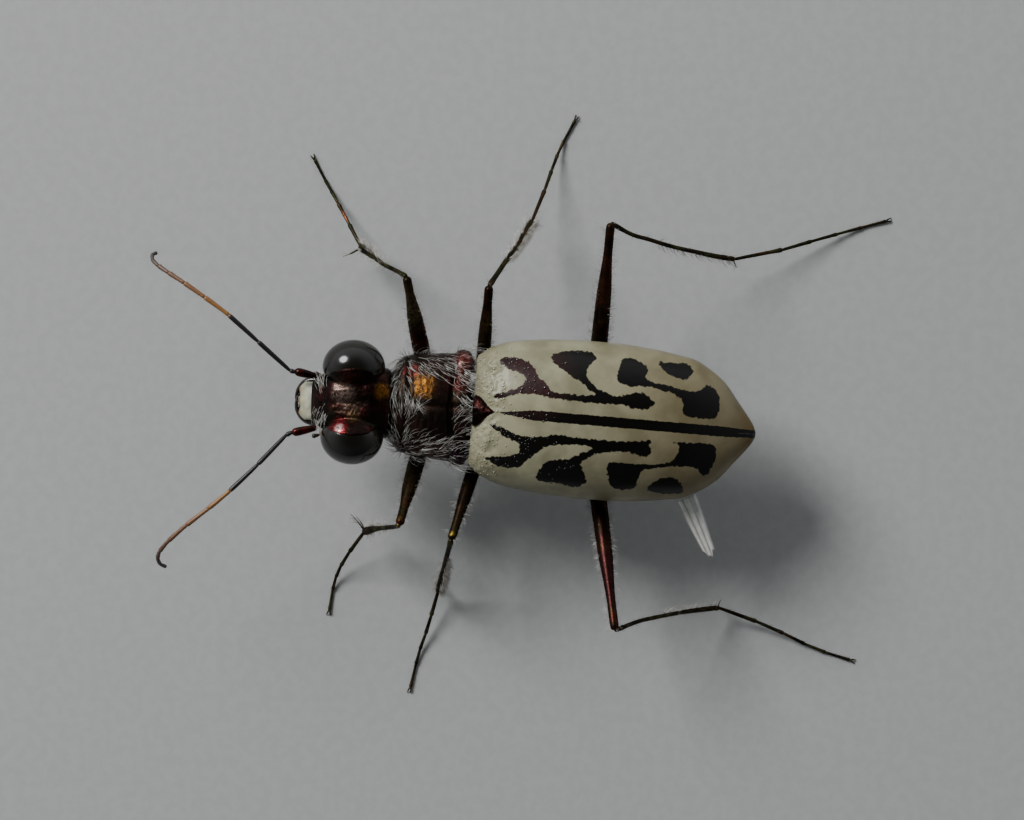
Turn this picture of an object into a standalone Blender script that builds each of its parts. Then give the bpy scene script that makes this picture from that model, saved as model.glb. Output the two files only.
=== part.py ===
"""A tiger beetle standing with its legs and feelers spread, 17 mm long, as a still life-size model.

Lengths are in millimetres until a mesh is made, and angles are in degrees. The head points along -Y,
the beetle's left side is +X, and the feet stand on z = 0. Three empties carry the body: the head,
the prothorax and the hind body each turn and tilt a little, as in a living beetle. The legs and the
feelers are given by the places of their joints.
"""

import math

import bmesh
import bpy
from mathutils import Vector

MM = 0.001

# Room between pieces that meet, and the least thickness of a leg, a feeler or a wing
GAP = 0.28
FINE_GAP = 0.2
LIMB_RADIUS = 0.25
TIP_RADIUS = 0.07
FEELER_SIDES = 7
PALP_SIDES = 6
JAW_SIDES = 8
SPINE_SIDES = 5
THIGH_SIDES = 9
SHIN_SIDES = 8
SHARP_ANGLE = 40

# Where each part of the body sits, how it is turned about Z and how far its front is raised
HEAD_PLACE = (-0.07, -6.35, 4.90)
HEAD_TURN = -1.9
HEAD_TILT = 0.0
PROTHORAX_PLACE = (0.07, -3.42, 4.38)
PROTHORAX_TURN = -3.5
PROTHORAX_TILT = 3.0
HIND_PLACE = (0.23, -1.90, 5.00)
HIND_TURN = -4.9
HIND_TILT = 4.0

# Head, from the edge above the mouth to the neck: place along Y, half width, top, bottom
HEAD_STATIONS = (
    (-1.33, 0.80, 0.26, -0.52),
    (-1.12, 0.94, 0.50, -0.80),
    (-0.70, 1.14, 0.84, -1.08),
    (0.00, 1.40, 1.02, -1.26),
    (0.60, 1.45, 1.03, -1.28),
    (1.18, 1.30, 0.90, -1.12),
)
HEAD_SIDE_HEIGHT = -0.10
HEAD_RINGS = 15
HEAD_SIDES = 28
CROWN_DIP = 0.16
CROWN_DIP_WIDTH = 0.42
CROWN_DIP_LENGTH = 0.75
CROWN_DIP_PLACE = -0.1

# Eyes: their outer radii, the radius of the half that is sunk in the head, and their place
EYE_RADII = (1.03, 1.16, 1.06)
EYE_INNER_RADIUS = 0.70
EYE_OFFSET = (1.27, 0.0, 0.30)
EYE_SIDES = 22
EYE_RINGS = 14

# Raised ring of the head in front of each eye, which carries the feeler
SOCKET_ROOT = (0.55, -0.72, 0.02)
SOCKET_END = (0.90, -1.27, 0.14)
SOCKET_RADIUS = 0.27

# Lip plate in front of the head, as its outline from the side, and its form from above
LIP_OUTLINE = ((-1.56, 0.02), (-2.00, -0.36), (-1.95, -0.60), (-1.56, -0.46))
LIP_HALF_WIDTH = 0.76
LIP_CORNER = 0.20
LIP_TEETH = 3
LIP_TOOTH = 0.04
LIP_COLUMNS = 12

# Jaws: points of the left one from its root to its tip, with the radius there
JAW_POINTS = (
    (0.93, -1.10, -0.98, 0.26),
    (0.99, -1.55, -1.02, 0.27),
    (0.86, -1.93, -1.06, 0.25),
    (0.52, -2.12, -1.08, 0.22),
    (0.16, -2.14, -1.06, 0.16),
    (-0.22, -2.04, -1.02, 0.07),
)
JAW_CROSSING_DROP = 0.60
JAW_TOOTH_LENGTH = 0.40
JAW_TOOTH_RADIUS = 0.14

# Mouth feelers: outer and inner pair, left side
OUTER_PALP = ((0.95, -0.62, -1.50), (1.14, -1.00, -1.78), (1.30, -1.30, -1.76), (1.34, -1.52, -1.56))
INNER_PALP = ((0.34, -0.62, -1.66), (0.36, -1.02, -1.90), (0.40, -1.38, -2.02), (0.44, -1.72, -2.00))
PALP_RADIUS = 0.2

# Feelers: first joint, then the ends of the other ten
SCAPE_RIGHT = ((-1.06, -7.86, 5.12), (-1.12, -8.12, 5.14), (-1.20, -8.46, 5.16))
SCAPE_LEFT = ((0.92, -7.92, 5.12), (0.98, -8.22, 5.14), (1.05, -8.56, 5.16))
FEELER_RIGHT = (
    (-1.23, -8.63, 5.16),
    (-2.31, -9.84, 5.50),
    (-3.29, -10.92, 5.62),
    (-3.94, -11.80, 5.62),
    (-4.52, -12.55, 5.52),
    (-4.93, -13.14, 5.34),
    (-5.21, -13.50, 5.14),
    (-5.42, -13.68, 4.94),
    (-5.62, -13.66, 4.78),
    (-5.68, -13.46, 4.68),
)
FEELER_LEFT = (
    (1.14, -8.80, 5.16),
    (2.23, -9.84, 5.50),
    (3.21, -10.88, 5.62),
    (3.85, -11.66, 5.62),
    (4.47, -12.48, 5.52),
    (5.05, -13.14, 5.34),
    (5.43, -13.46, 5.14),
    (5.70, -13.54, 4.94),
    (5.90, -13.44, 4.80),
    (6.00, -13.22, 4.70),
)
SCAPE_RADIUS = 0.26

# Prothorax: place along Y, half width, top, bottom
PROTHORAX_STATIONS = (
    (-1.53, 1.28, 0.98, -0.86),
    (-1.36, 1.55, 1.16, -1.02),
    (-1.14, 1.76, 1.24, -1.12),
    (-0.98, 1.80, 1.16, -1.14),
    (-0.70, 1.88, 1.30, -1.20),
    (-0.10, 1.94, 1.40, -1.26),
    (0.45, 1.98, 1.32, -1.24),
    (0.70, 2.04, 1.12, -1.18),
    (0.95, 2.13, 1.22, -1.08),
    (1.22, 2.08, 1.22, -0.98),
    (1.40, 1.62, 1.04, -0.84),
)
PROTHORAX_SIDE_HEIGHT = -0.05
PROTHORAX_GROOVE = 0.08
PROTHORAX_GROOVE_WIDTH = 0.10
PROTHORAX_RINGS = 18
PROTHORAX_SIDES = 32

# Wing cases: place along Y, half width, height at the seam, height of the outer margin
CASE_STATIONS = (
    (0.14, 2.12, 0.86, -0.04),
    (0.41, 2.35, 1.06, -0.15),
    (1.14, 2.60, 1.38, -0.25),
    (2.11, 2.76, 1.63, -0.28),
    (3.00, 2.84, 1.79, -0.28),
    (4.14, 2.88, 1.90, -0.28),
    (5.27, 2.87, 1.93, -0.26),
    (6.40, 2.78, 1.85, -0.22),
    (7.39, 2.64, 1.66, -0.16),
    (7.93, 2.54, 1.51, -0.12),
    (8.56, 2.22, 1.28, -0.06),
    (9.12, 1.81, 1.04, 0.00),
    (9.71, 1.12, 0.74, 0.06),
    (10.12, 0.62, 0.50, 0.10),
    (10.32, 0.34, 0.36, 0.13),
)
CASE_APEX = (10.43, 0.16)
CASE_THICKNESS = 0.50
CASE_FULLNESS = 2.25
CASE_RINGS = 22
CASE_COLUMNS = 11

# Body under the wing cases: place along Y, half width of the flank, height of the belly
BELLY_STATIONS = (
    (0.14, 1.40, -1.42),
    (0.80, 1.95, -1.84),
    (2.00, 2.32, -1.95),
    (3.50, 2.40, -1.95),
    (5.00, 2.36, -1.80),
    (7.00, 2.18, -1.45),
    (8.50, 1.62, -1.00),
    (9.30, 0.95, -0.65),
    (9.60, 0.55, -0.45),
)
THORAX_RANGE = (0.14, 4.86)
THORAX_RINGS = 12
ABDOMEN_RANGE = (5.14, 9.58)
ABDOMEN_PLACES = (5.30, 9.15, 9.42)
CORE_COLUMNS = 8
BELLY_COLUMNS = 7
CORE_GAP = 0.40
BELLY_JOINTS = (5.75, 6.60, 7.40, 8.15, 8.80)
BELLY_JOINT_DEPTH = 0.07
BELLY_JOINT_WIDTH = 0.09
BELLY_ROUNDNESS = 0.9
CORE_STEP = 0.05

# Scutellum: the small triangle between the roots of the wing cases
SCUTELLUM_FRONT = 0.10
SCUTELLUM_TIP = 0.72
SCUTELLUM_HALF_WIDTH = 0.46
SCUTELLUM_TOP = (1.00, 1.22)
SCUTELLUM_BOTTOM = (0.44, 0.62)

# Tip of the folded hind wing below the margin of the left wing case
WING_ROOT = (2.78, 7.70, -0.66)
WING_POINT = (4.62, 8.92, -0.98)
WING_WIDTH = 0.70
WING_VEINS = 4
WING_VEIN_HEIGHT = 0.07
WING_RINGS = 7
WING_TAPER = 0.72
WING_LEAN = 0.30

# Legs: root, hip, knee, ankle and toe, with the shares of the foot at which its joints end
LEGS = {
    "front_right": {
        "root": (-0.48, -3.44, 3.30),
        "hip": (-0.80, -3.62, 2.60),
        "knee": (-4.73, -4.44, 4.70),
        "ankle": (-5.85, -6.08, 1.20),
        "toe": (-9.36, -8.01),
        "thigh_radius": 0.31,
        "joints": (0.29, 0.47, 0.62, 0.74),
    },
    "front_left": {
        "root": (0.66, -3.52, 3.30),
        "hip": (0.96, -3.72, 2.50),
        "knee": (4.44, -4.64, 5.30),
        "ankle": (4.87, -6.10, 1.60),
        "toe": (7.99, -7.40),
        "thigh_radius": 0.31,
        "joints": (0.26, 0.43, 0.57, 0.70),
    },
    "middle_right": {
        "root": (-0.32, -1.14, 3.46),
        "hip": (-0.66, -1.40, 2.62),
        "knee": (-4.29, -1.39, 5.60),
        "ankle": (-6.80, 0.19, 1.90),
        "toe": (-10.91, 2.00),
        "thigh_radius": 0.28,
        "joints": (0.30, 0.49, 0.64, 0.76),
    },
    "middle_left": {
        "root": (0.90, -1.22, 3.46),
        "hip": (1.16, -1.52, 2.62),
        "knee": (5.00, -2.74, 5.00),
        "ankle": (6.93, -3.24, 0.80),
        "toe": (10.90, -4.36),
        "thigh_radius": 0.28,
        "joints": (0.30, 0.48, 0.63, 0.75),
    },
    "hind_right": {
        "root": (0.02, 2.38, 2.96),
        "hip": (-0.34, 2.56, 2.12),
        "knee": (-6.54, 3.05, 5.90),
        "ankle": (-5.42, 7.76, 1.50),
        "toe": (-6.95, 13.81),
        "thigh_radius": 0.33,
        "joints": (0.33, 0.54, 0.69, 0.81),
    },
    "hind_left": {
        "root": (1.16, 2.30, 2.96),
        "hip": (1.50, 2.46, 2.12),
        "knee": (8.28, 3.26, 5.30),
        "ankle": (7.63, 7.23, 0.80),
        "toe": (9.73, 12.42),
        "thigh_radius": 0.33,
        "joints": (0.28, 0.47, 0.61, 0.74),
    },
}
COXA_RADIUS = 0.50
COXA_PROFILE = ((0.0, 0.86), (0.35, 1.0), (0.75, 0.92), (1.0, 0.70))
COXA_END = 0.10
COXA_SIDES = 12
TROCHANTER_RADIUS = 0.28
TROCHANTER_LENGTH = 0.58
KNEE_WAIST = 0.80
JOINT_MARGIN = 0.08
SPUR_LENGTH = 0.62
SPUR_RADIUS = 0.11
SPUR_SPREAD = 32.0
SPUR_PLACE = 0.34
CLAW_LENGTH = 0.50
CLAW_REACH = 0.30
CLAW_RADIUS = 0.12
CLAW_SPREAD = 26.0
CLAW_TIP_HEIGHT = 0.05
CLAW_LIFT = 0.06
TARSUS_SAG = 1.35
FOOT_HEIGHT = 0.17
FLOOR_CUT_WIDTH = 40.0
FLOOR_CUT_DEPTH = 2.0

# Colours as linear red, green and blue, with how metallic and how rough the surface is
COPPER = ((0.075, 0.022, 0.014), 0.6, 0.35)
EYE_BROWN = ((0.012, 0.008, 0.007), 0.0, 0.08)
IVORY = ((0.52, 0.50, 0.36), 0.0, 0.30)
JAW_BROWN = ((0.030, 0.018, 0.012), 0.0, 0.25)
PALP_AMBER = ((0.25, 0.14, 0.06), 0.0, 0.40)
FEELER_BROWN = ((0.11, 0.05, 0.022), 0.1, 0.45)
BODY_BRONZE = ((0.045, 0.030, 0.018), 0.6, 0.35)
THIGH_PURPLE = ((0.040, 0.014, 0.012), 0.5, 0.35)
SHIN_GREEN = ((0.020, 0.022, 0.014), 0.4, 0.40)
WING_CLEAR = ((0.60, 0.60, 0.56), 0.0, 0.12)


def clear_scene():
    """Remove every object that the scene starts with."""
    for found in list(bpy.data.objects):
        bpy.data.objects.remove(found, do_unlink=True)


def finish_of(label, look):
    """A Principled material, made once for each look."""
    made = bpy.data.materials.get(label)
    if made:
        return made
    colour, metallic, roughness = look
    made = bpy.data.materials.new(label)
    made.use_nodes = True
    shader = made.node_tree.nodes["Principled BSDF"]
    shader.inputs["Base Color"].default_value = (*colour, 1.0)
    shader.inputs["Metallic"].default_value = metallic
    shader.inputs["Roughness"].default_value = roughness
    made.diffuse_color = (*colour, 1.0)
    return made


def body_frame(name, place, turn, tilt):
    """An empty that carries one part of the body."""
    frame = bpy.data.objects.new(name, None)
    frame.location = [value * MM for value in place]
    frame.rotation_euler = (math.radians(-tilt), 0.0, math.radians(turn))
    bpy.context.scene.collection.objects.link(frame)
    return frame


def smooth_value(stations, column, at):
    """A column of a station table at a place along Y, on a curve that never overshoots."""
    places = [row[0] for row in stations]
    values = [row[column] for row in stations]
    at = min(max(at, places[0]), places[-1])
    slopes = [
        (values[k + 1] - values[k]) / (places[k + 1] - places[k]) for k in range(len(places) - 1)
    ]
    tangents = [slopes[0]]
    for before, after in zip(slopes, slopes[1:]):
        steady = before * after > 0
        tangents.append(2 * before * after / (before + after) if steady else 0.0)
    tangents.append(slopes[-1])
    k = 0
    while k < len(places) - 2 and at > places[k + 1]:
        k += 1
    span = places[k + 1] - places[k]
    t = (at - places[k]) / span
    return (
        values[k] * (2 * t**3 - 3 * t**2 + 1)
        + tangents[k] * span * (t**3 - 2 * t**2 + t)
        + values[k + 1] * (3 * t**2 - 2 * t**3)
        + tangents[k + 1] * span * (t**3 - t**2)
    )


def power(value, exponent):
    """A power that keeps the sign."""
    return math.copysign(abs(value) ** exponent, value)


def new_object(name, mesh, look_name, look, parent=None):
    """An object in the scene with its finish, shaded smooth where it is round."""
    made = bpy.data.objects.new(name, mesh)
    mesh.materials.clear()
    mesh.materials.append(finish_of(look_name, look))
    bpy.context.scene.collection.objects.link(made)
    made.parent = parent
    return made


def mesh_of(name, points, faces):
    """A mesh from points in millimetres, with its faces turned outward."""
    form = bmesh.new()
    corners = [form.verts.new(point) for point in points]
    for face in faces:
        form.faces.new([corners[k] for k in face])
    return finished_mesh(name, form)


def finished_mesh(name, form):
    """A mesh in metres from a form in millimetres, with its faces turned outward."""
    bmesh.ops.recalc_face_normals(form, faces=form.faces)
    if form.calc_volume(signed=True) < 0:
        bmesh.ops.reverse_faces(form, faces=form.faces)
    for corner in form.verts:
        corner.co *= MM
    mesh = bpy.data.meshes.new(name)
    form.to_mesh(mesh)
    form.free()
    mesh.shade_smooth()
    mesh.set_sharp_from_angle(angle=math.radians(SHARP_ANGLE))
    return mesh


def loft(name, rings):
    """A closed mesh through rings of equal count, with a fan of faces on each end."""
    count = len(rings[0])
    points = [point for ring in rings for point in ring]
    faces = []
    for k in range(len(rings) - 1):
        low, high = k * count, (k + 1) * count
        for j in range(count):
            after = (j + 1) % count
            faces.append((low + j, low + after, high + after))
            faces.append((low + j, high + after, high + j))
    for ring, first in ((rings[0], 0), (rings[-1], (len(rings) - 1) * count)):
        centre = [sum(point[axis] for point in ring) / count for axis in range(3)]
        points.append(centre)
        middle = len(points) - 1
        for j in range(count):
            faces.append((middle, first + j, first + (j + 1) % count))
    return mesh_of(name, points, faces)


def tube_rings(points, radii, sides, start_plane=None, end_plane=None):
    """Rings along a path. Each end may be cut by a plane, given as a point and a normal."""
    path = [Vector(point) for point in points]
    rings = []
    for k, centre in enumerate(path):
        before = path[max(k - 1, 0)]
        after = path[min(k + 1, len(path) - 1)]
        along = (after - before).normalized()
        side = along.cross(Vector((0, 0, 1))).normalized()
        up = side.cross(along)
        ring = []
        for j in range(sides):
            angle = 2 * math.pi * (j + 0.5) / sides
            offset = side * math.cos(angle) + up * math.sin(angle)
            ring.append(centre + radii[k] * offset)
        rings.append(ring)
    for index, plane in ((0, start_plane), (-1, end_plane)):
        if plane is None:
            continue
        place, normal = Vector(plane[0]), Vector(plane[1])
        next_index = 1 if index == 0 else -2
        along = (path[index] - path[next_index]).normalized()
        rings[index] = [
            point + along * ((place - point).dot(normal) / along.dot(normal))
            for point in rings[index]
        ]
    return rings


def between(first, second, share):
    """The point at a share of the way from one point to another."""
    return tuple(a + (b - a) * share for a, b in zip(first, second))


def distance(first, second):
    """How far two points are apart."""
    return (Vector(second) - Vector(first)).length


def settle(node):
    """Turn an object's modifiers into its own mesh."""
    bpy.context.view_layer.update()
    graph = bpy.context.evaluated_depsgraph_get()
    mesh = bpy.data.meshes.new_from_object(node.evaluated_get(graph))
    node.modifiers.clear()
    node.data = mesh
    keep_largest_surface(node)


def keep_largest_surface(node):
    """Drop every closed surface of a mesh but the one that spans most."""
    form = bmesh.new()
    form.from_mesh(node.data)
    left = set(form.verts)
    groups = []
    while left:
        start = left.pop()
        group, queue = {start}, [start]
        while queue:
            for edge in queue.pop().link_edges:
                for corner in edge.verts:
                    if corner in left:
                        left.discard(corner)
                        group.add(corner)
                        queue.append(corner)
        groups.append(group)
    if len(groups) > 1:
        widest = max(groups, key=spread_of)
        loose = [corner for group in groups if group is not widest for corner in group]
        bmesh.ops.delete(form, geom=loose, context="VERTS")
    form.to_mesh(node.data)
    form.free()


def spread_of(corners):
    """The sum of the three sides of a group of corners' box."""
    return sum(
        max(corner.co[axis] for corner in corners) - min(corner.co[axis] for corner in corners)
        for axis in range(3)
    )


def combine(node, helpers, operation):
    """Cut helpers from a node or join them to it, then remove the helpers."""
    group = bpy.data.collections.new(node.name + "_helpers")
    bpy.context.scene.collection.children.link(group)
    for helper in helpers:
        for holder in list(helper.users_collection):
            holder.objects.unlink(helper)
        group.objects.link(helper)
        helper.hide_render = True
        helper.display_type = "WIRE"
    change = node.modifiers.new("combine", "BOOLEAN")
    change.operation = operation
    change.operand_type = "COLLECTION"
    change.collection = group
    change.solver = "EXACT"
    settle(node)
    for helper in list(group.objects):
        bpy.data.objects.remove(helper, do_unlink=True)
    bpy.data.collections.remove(group)


def helper_object(name, mesh, parent=None):
    """A mesh object that only serves to cut or to be joined."""
    made = bpy.data.objects.new(name, mesh)
    bpy.context.scene.collection.objects.link(made)
    made.parent = parent
    return made


def eye_mesh(name, side, grow):
    """A closed egg shape with its poles on X, flatter towards the middle of the head."""
    form = bmesh.new()
    bmesh.ops.create_uvsphere(form, u_segments=EYE_SIDES, v_segments=EYE_RINGS, radius=1.0)
    for corner in form.verts:
        x, y, z = corner.co
        reach = EYE_RADII[0] if z > 0 else EYE_INNER_RADIUS
        corner.co = (
            side * (EYE_OFFSET[0] + (reach + grow) * z),
            EYE_OFFSET[1] + (EYE_RADII[1] + grow) * x,
            EYE_OFFSET[2] + (EYE_RADII[2] + grow) * y,
        )
    return finished_mesh(name, form)


def spike_mesh(name, root, tip, radius, bend=(0.0, 0.0, 0.0)):
    """A five-sided spine from a sunk root to a narrow tip, bent a little on its way."""
    middle = between(root, tip, 0.55)
    middle = tuple(a + b for a, b in zip(middle, bend))
    radii = (radius, radius * 0.75, radius * 0.2)
    return loft(name, tube_rings((root, middle, tip), radii, SPINE_SIDES))


def body_ring(y, half_width, top, bottom, side_height, count, fullness=2.2):
    """A closed section across the body, wider below the middle than an ellipse."""
    ring = []
    for k in range(count):
        angle = 2 * math.pi * (k + 0.5) / count
        x = half_width * power(math.cos(angle), 2 / fullness)
        height = top - side_height if math.sin(angle) > 0 else side_height - bottom
        ring.append((x, y, side_height + height * power(math.sin(angle), 2 / fullness)))
    return ring


def make_head(frame):
    """The head capsule with a hollow for each eye."""
    first, last = HEAD_STATIONS[0][0], HEAD_STATIONS[-1][0]
    rings = []
    for k in range(HEAD_RINGS):
        y = first + (last - first) * k / (HEAD_RINGS - 1)
        width, top, bottom = (smooth_value(HEAD_STATIONS, c, y) for c in (1, 2, 3))
        dip = CROWN_DIP * math.exp(-(((y - CROWN_DIP_PLACE) / CROWN_DIP_LENGTH) ** 2))
        ring = []
        for x, _, z in body_ring(y, width, top, bottom, HEAD_SIDE_HEIGHT, HEAD_SIDES):
            sink = dip * math.exp(-((x / CROWN_DIP_WIDTH) ** 2)) if z > 0 else 0.0
            ring.append((x, y, z - sink))
        rings.append(ring)
    head = new_object("head", loft("head", rings), "copper", COPPER, frame)
    sockets, hollows = [], []
    for side in (-1, 1):
        ends = [(side * x, y, z) for x, y, z in (SOCKET_ROOT, SOCKET_END)]
        path = (ends[0], between(*ends, 0.7), ends[1])
        radii = (SOCKET_RADIUS * 0.9, SOCKET_RADIUS, SOCKET_RADIUS * 0.9)
        socket = loft("socket", tube_rings(path, radii, COXA_SIDES))
        sockets.append(helper_object("socket", socket, frame))
        hollow = eye_mesh("hollow", side, FINE_GAP)
        hollows.append(helper_object("hollow", hollow, frame))
    combine(head, sockets, "UNION")
    combine(head, hollows, "DIFFERENCE")


def make_eyes(frame):
    """Two large rounded eyes, each sunk in its hollow."""
    for side, label in ((-1, "right"), (1, "left")):
        mesh = eye_mesh("eye_" + label, side, 0.0)
        new_object("eye_" + label, mesh, "eye brown", EYE_BROWN, frame)


def make_lip(frame):
    """The pale lip plate that slopes down over the jaws, with blunt teeth on its edge."""
    rings = []
    for k in range(LIP_COLUMNS + 1):
        across = -1 + 2 * k / LIP_COLUMNS
        tooth = LIP_TOOTH * math.cos(math.pi * LIP_TEETH * across)
        corner = LIP_CORNER * across**4
        ring = []
        for index, (y, z) in enumerate(LIP_OUTLINE):
            front = index in (1, 2)
            ring.append((LIP_HALF_WIDTH * across, y + (corner - tooth) * front, z - corner * 0.4))
        rings.append(ring)
    new_object("labrum", loft("labrum", rings), "ivory", IVORY, frame)


def jaw_path(side, drop):
    """The points of one jaw. The right one passes below the left one at the tips."""
    path = []
    for k, (x, y, z, _) in enumerate(JAW_POINTS):
        share = k / (len(JAW_POINTS) - 1)
        path.append((x * side, y, z - drop * max(0.0, share * 1.5 - 0.5)))
    return path


def make_jaws(frame):
    """Two sickle jaws that cross below the lip, each with teeth on its inner edge."""
    radii = [row[3] for row in JAW_POINTS]
    for side, label, drop in ((-1, "right", JAW_CROSSING_DROP), (1, "left", 0.0)):
        path = jaw_path(side, drop)
        mesh = loft("mandible_" + label, tube_rings(path, radii, JAW_SIDES))
        jaw = new_object("mandible_" + label, mesh, "jaw brown", JAW_BROWN, frame)
        teeth = []
        for step in (1, 2):
            root = Vector(path[step + 1])
            aim = Vector((-side * 0.75, 0.66, 0.0)).normalized()
            tip = root + aim * JAW_TOOTH_LENGTH
            spike = spike_mesh("tooth", root, tip, JAW_TOOTH_RADIUS)
            teeth.append(helper_object("tooth", spike, frame))
        combine(jaw, teeth, "UNION")


def make_palps(frame):
    """Two pairs of jointed mouth feelers below the head."""
    for pair, path in (("maxillary", OUTER_PALP), ("labial", INNER_PALP)):
        for side, label in ((-1, "right"), (1, "left")):
            points = [(x * side, y, z) for x, y, z in path]
            places, radii = jointed_path(points, [PALP_RADIUS] * 2 + [PALP_RADIUS * 1.1])
            name = f"palp_{pair}_{label}"
            mesh = loft(name, tube_rings(places, radii, PALP_SIDES))
            new_object(name, mesh, "palp amber", PALP_AMBER, frame)


def jointed_path(ends, radii, waist=0.82):
    """Places and radii of a jointed limb: each joint swells and narrows again at its ends."""
    places, sizes = [], []
    for k in range(len(ends) - 1):
        radius = radii[min(k, len(radii) - 1)]
        for share, scale in ((0.10, waist), (0.5, 0.96), (0.88, 1.0)):
            places.append(between(ends[k], ends[k + 1], share))
            sizes.append(radius * scale)
    return places, sizes


def make_feelers():
    """Each feeler: a stout first joint, then ten joints that hook at the tip."""
    for label, scape, ends in (
        ("right", SCAPE_RIGHT, FEELER_RIGHT),
        ("left", SCAPE_LEFT, FEELER_LEFT),
    ):
        middle = between(scape[0], scape[2], 0.7)
        radii = (SCAPE_RADIUS * 0.85, SCAPE_RADIUS, SCAPE_RADIUS * 1.05, SCAPE_RADIUS * 0.9)
        mesh = loft("scape", tube_rings((scape[0], scape[1], middle, scape[2]), radii, JAW_SIDES))
        new_object(f"antenna_{label}_scape", mesh, "copper", COPPER)
        start = Vector(scape[2])
        along = (Vector(ends[1]) - start).normalized()
        joints = [tuple(start + along * GAP), between(tuple(start), ends[1], 0.30), *ends[1:]]
        taper = [LIMB_RADIUS] * 6 + [LIMB_RADIUS * 0.92, LIMB_RADIUS * 0.8, LIMB_RADIUS * 0.62]
        places, sizes = jointed_path(joints, taper, 0.9)
        places.append(ends[-1])
        sizes.append(TIP_RADIUS)
        mesh = loft("flagellum", tube_rings(places, sizes, FEELER_SIDES))
        new_object(f"antenna_{label}_flagellum", mesh, "feeler brown", FEELER_BROWN)


def make_prothorax(frame):
    """The prothorax: a waisted barrel with two cross grooves and a groove along its middle."""
    first, last = PROTHORAX_STATIONS[0][0], PROTHORAX_STATIONS[-1][0]
    rings = []
    for k in range(PROTHORAX_RINGS):
        y = first + (last - first) * k / (PROTHORAX_RINGS - 1)
        width, top, bottom = (smooth_value(PROTHORAX_STATIONS, c, y) for c in (1, 2, 3))
        ring = []
        section = body_ring(y, width, top, bottom, PROTHORAX_SIDE_HEIGHT, PROTHORAX_SIDES)
        for x, _, z in section:
            groove = math.exp(-((x / PROTHORAX_GROOVE_WIDTH) ** 2)) if z > 0 else 0.0
            ring.append((x, y, z - PROTHORAX_GROOVE * groove))
        rings.append(ring)
    mesh = loft("prothorax", rings)
    return new_object("prothorax", mesh, "copper", COPPER, frame)


def case_values(y):
    """Half width, seam height and margin height of the wing cases at a place along them."""
    return tuple(smooth_value(CASE_STATIONS, column, y) for column in (1, 2, 3))


def case_point(y, share, seam, shrink):
    """A point on a wing case: share 0 is at the seam and 1 at the outer margin."""
    width, top, margin = case_values(y)
    shrink_x, shrink_y, shrink_z = shrink
    angle = share * math.pi / 2
    across = abs(math.sin(angle)) ** (2 / CASE_FULLNESS)
    height = abs(math.cos(angle)) ** (2 / CASE_FULLNESS) if share < 1 else 0.0
    first = CASE_STATIONS[0][0]
    return (
        seam + (width * shrink_x - seam) * across,
        first + (y - first) * shrink_y,
        margin + (top - margin) * shrink_z * height,
    )


def inward_shrink(depth):
    """How much the section of the wing cases shrinks at a depth below their surface."""
    length = CASE_APEX[0] - CASE_STATIONS[0][0]
    width = max(row[1] for row in CASE_STATIONS)
    height = max(row[2] - row[3] for row in CASE_STATIONS)
    return (1 - depth / width, 1 - depth / length, 1 - depth / height)


def make_wing_case(label, side, frame):
    """One wing case: a domed shell, thick all over, that closes at its apex."""
    first, last = CASE_STATIONS[0][0], CASE_STATIONS[-1][0]
    seam = GAP / 2
    points, faces = [], []
    layers = []
    for shrink in ((1.0, 1.0, 1.0), inward_shrink(CASE_THICKNESS)):
        start = len(points)
        for k in range(CASE_RINGS):
            share = k / (CASE_RINGS - 1)
            y = first + (last - first) * (0.5 - 0.5 * math.cos(math.pi * share) + share) / 2
            for j in range(CASE_COLUMNS + 1):
                x, y_here, z = case_point(y, j / CASE_COLUMNS, seam, shrink)
                points.append((x * side, y_here, z))
        tip_y = first + (CASE_APEX[0] - first) * shrink[1]
        points.append((seam * side, tip_y, CASE_APEX[1]))
        layers.append((start, len(points) - 1))
    row = CASE_COLUMNS + 1
    for start, apex in layers:
        for k in range(CASE_RINGS - 1):
            for j in range(CASE_COLUMNS):
                a = start + k * row + j
                faces.append((a, a + 1, a + row + 1))
                faces.append((a, a + row + 1, a + row))
        edge = start + (CASE_RINGS - 1) * row
        for j in range(CASE_COLUMNS):
            faces.append((edge + j, edge + j + 1, apex))
    (outer, outer_apex), (inner, inner_apex) = layers
    rim = [k * row for k in range(CASE_RINGS)]
    far_rim = [k * row + CASE_COLUMNS for k in range(CASE_RINGS)]
    for line in (rim, far_rim):
        for a, b in zip(line, line[1:]):
            faces.append((outer + a, outer + b, inner + b))
            faces.append((outer + a, inner + b, inner + a))
        faces.append((outer + line[-1], outer_apex, inner_apex))
        faces.append((outer + line[-1], inner_apex, inner + line[-1]))
    for j in range(CASE_COLUMNS):
        faces.append((outer + j, outer + j + 1, inner + j + 1))
        faces.append((outer + j, inner + j + 1, inner + j))
    name = "elytron_" + label
    case = new_object(name, mesh_of(name, points, faces), "ivory", IVORY, frame)
    combine(case, [scutellum_object("clearance", frame, FINE_GAP, 2.0)], "DIFFERENCE")


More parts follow.
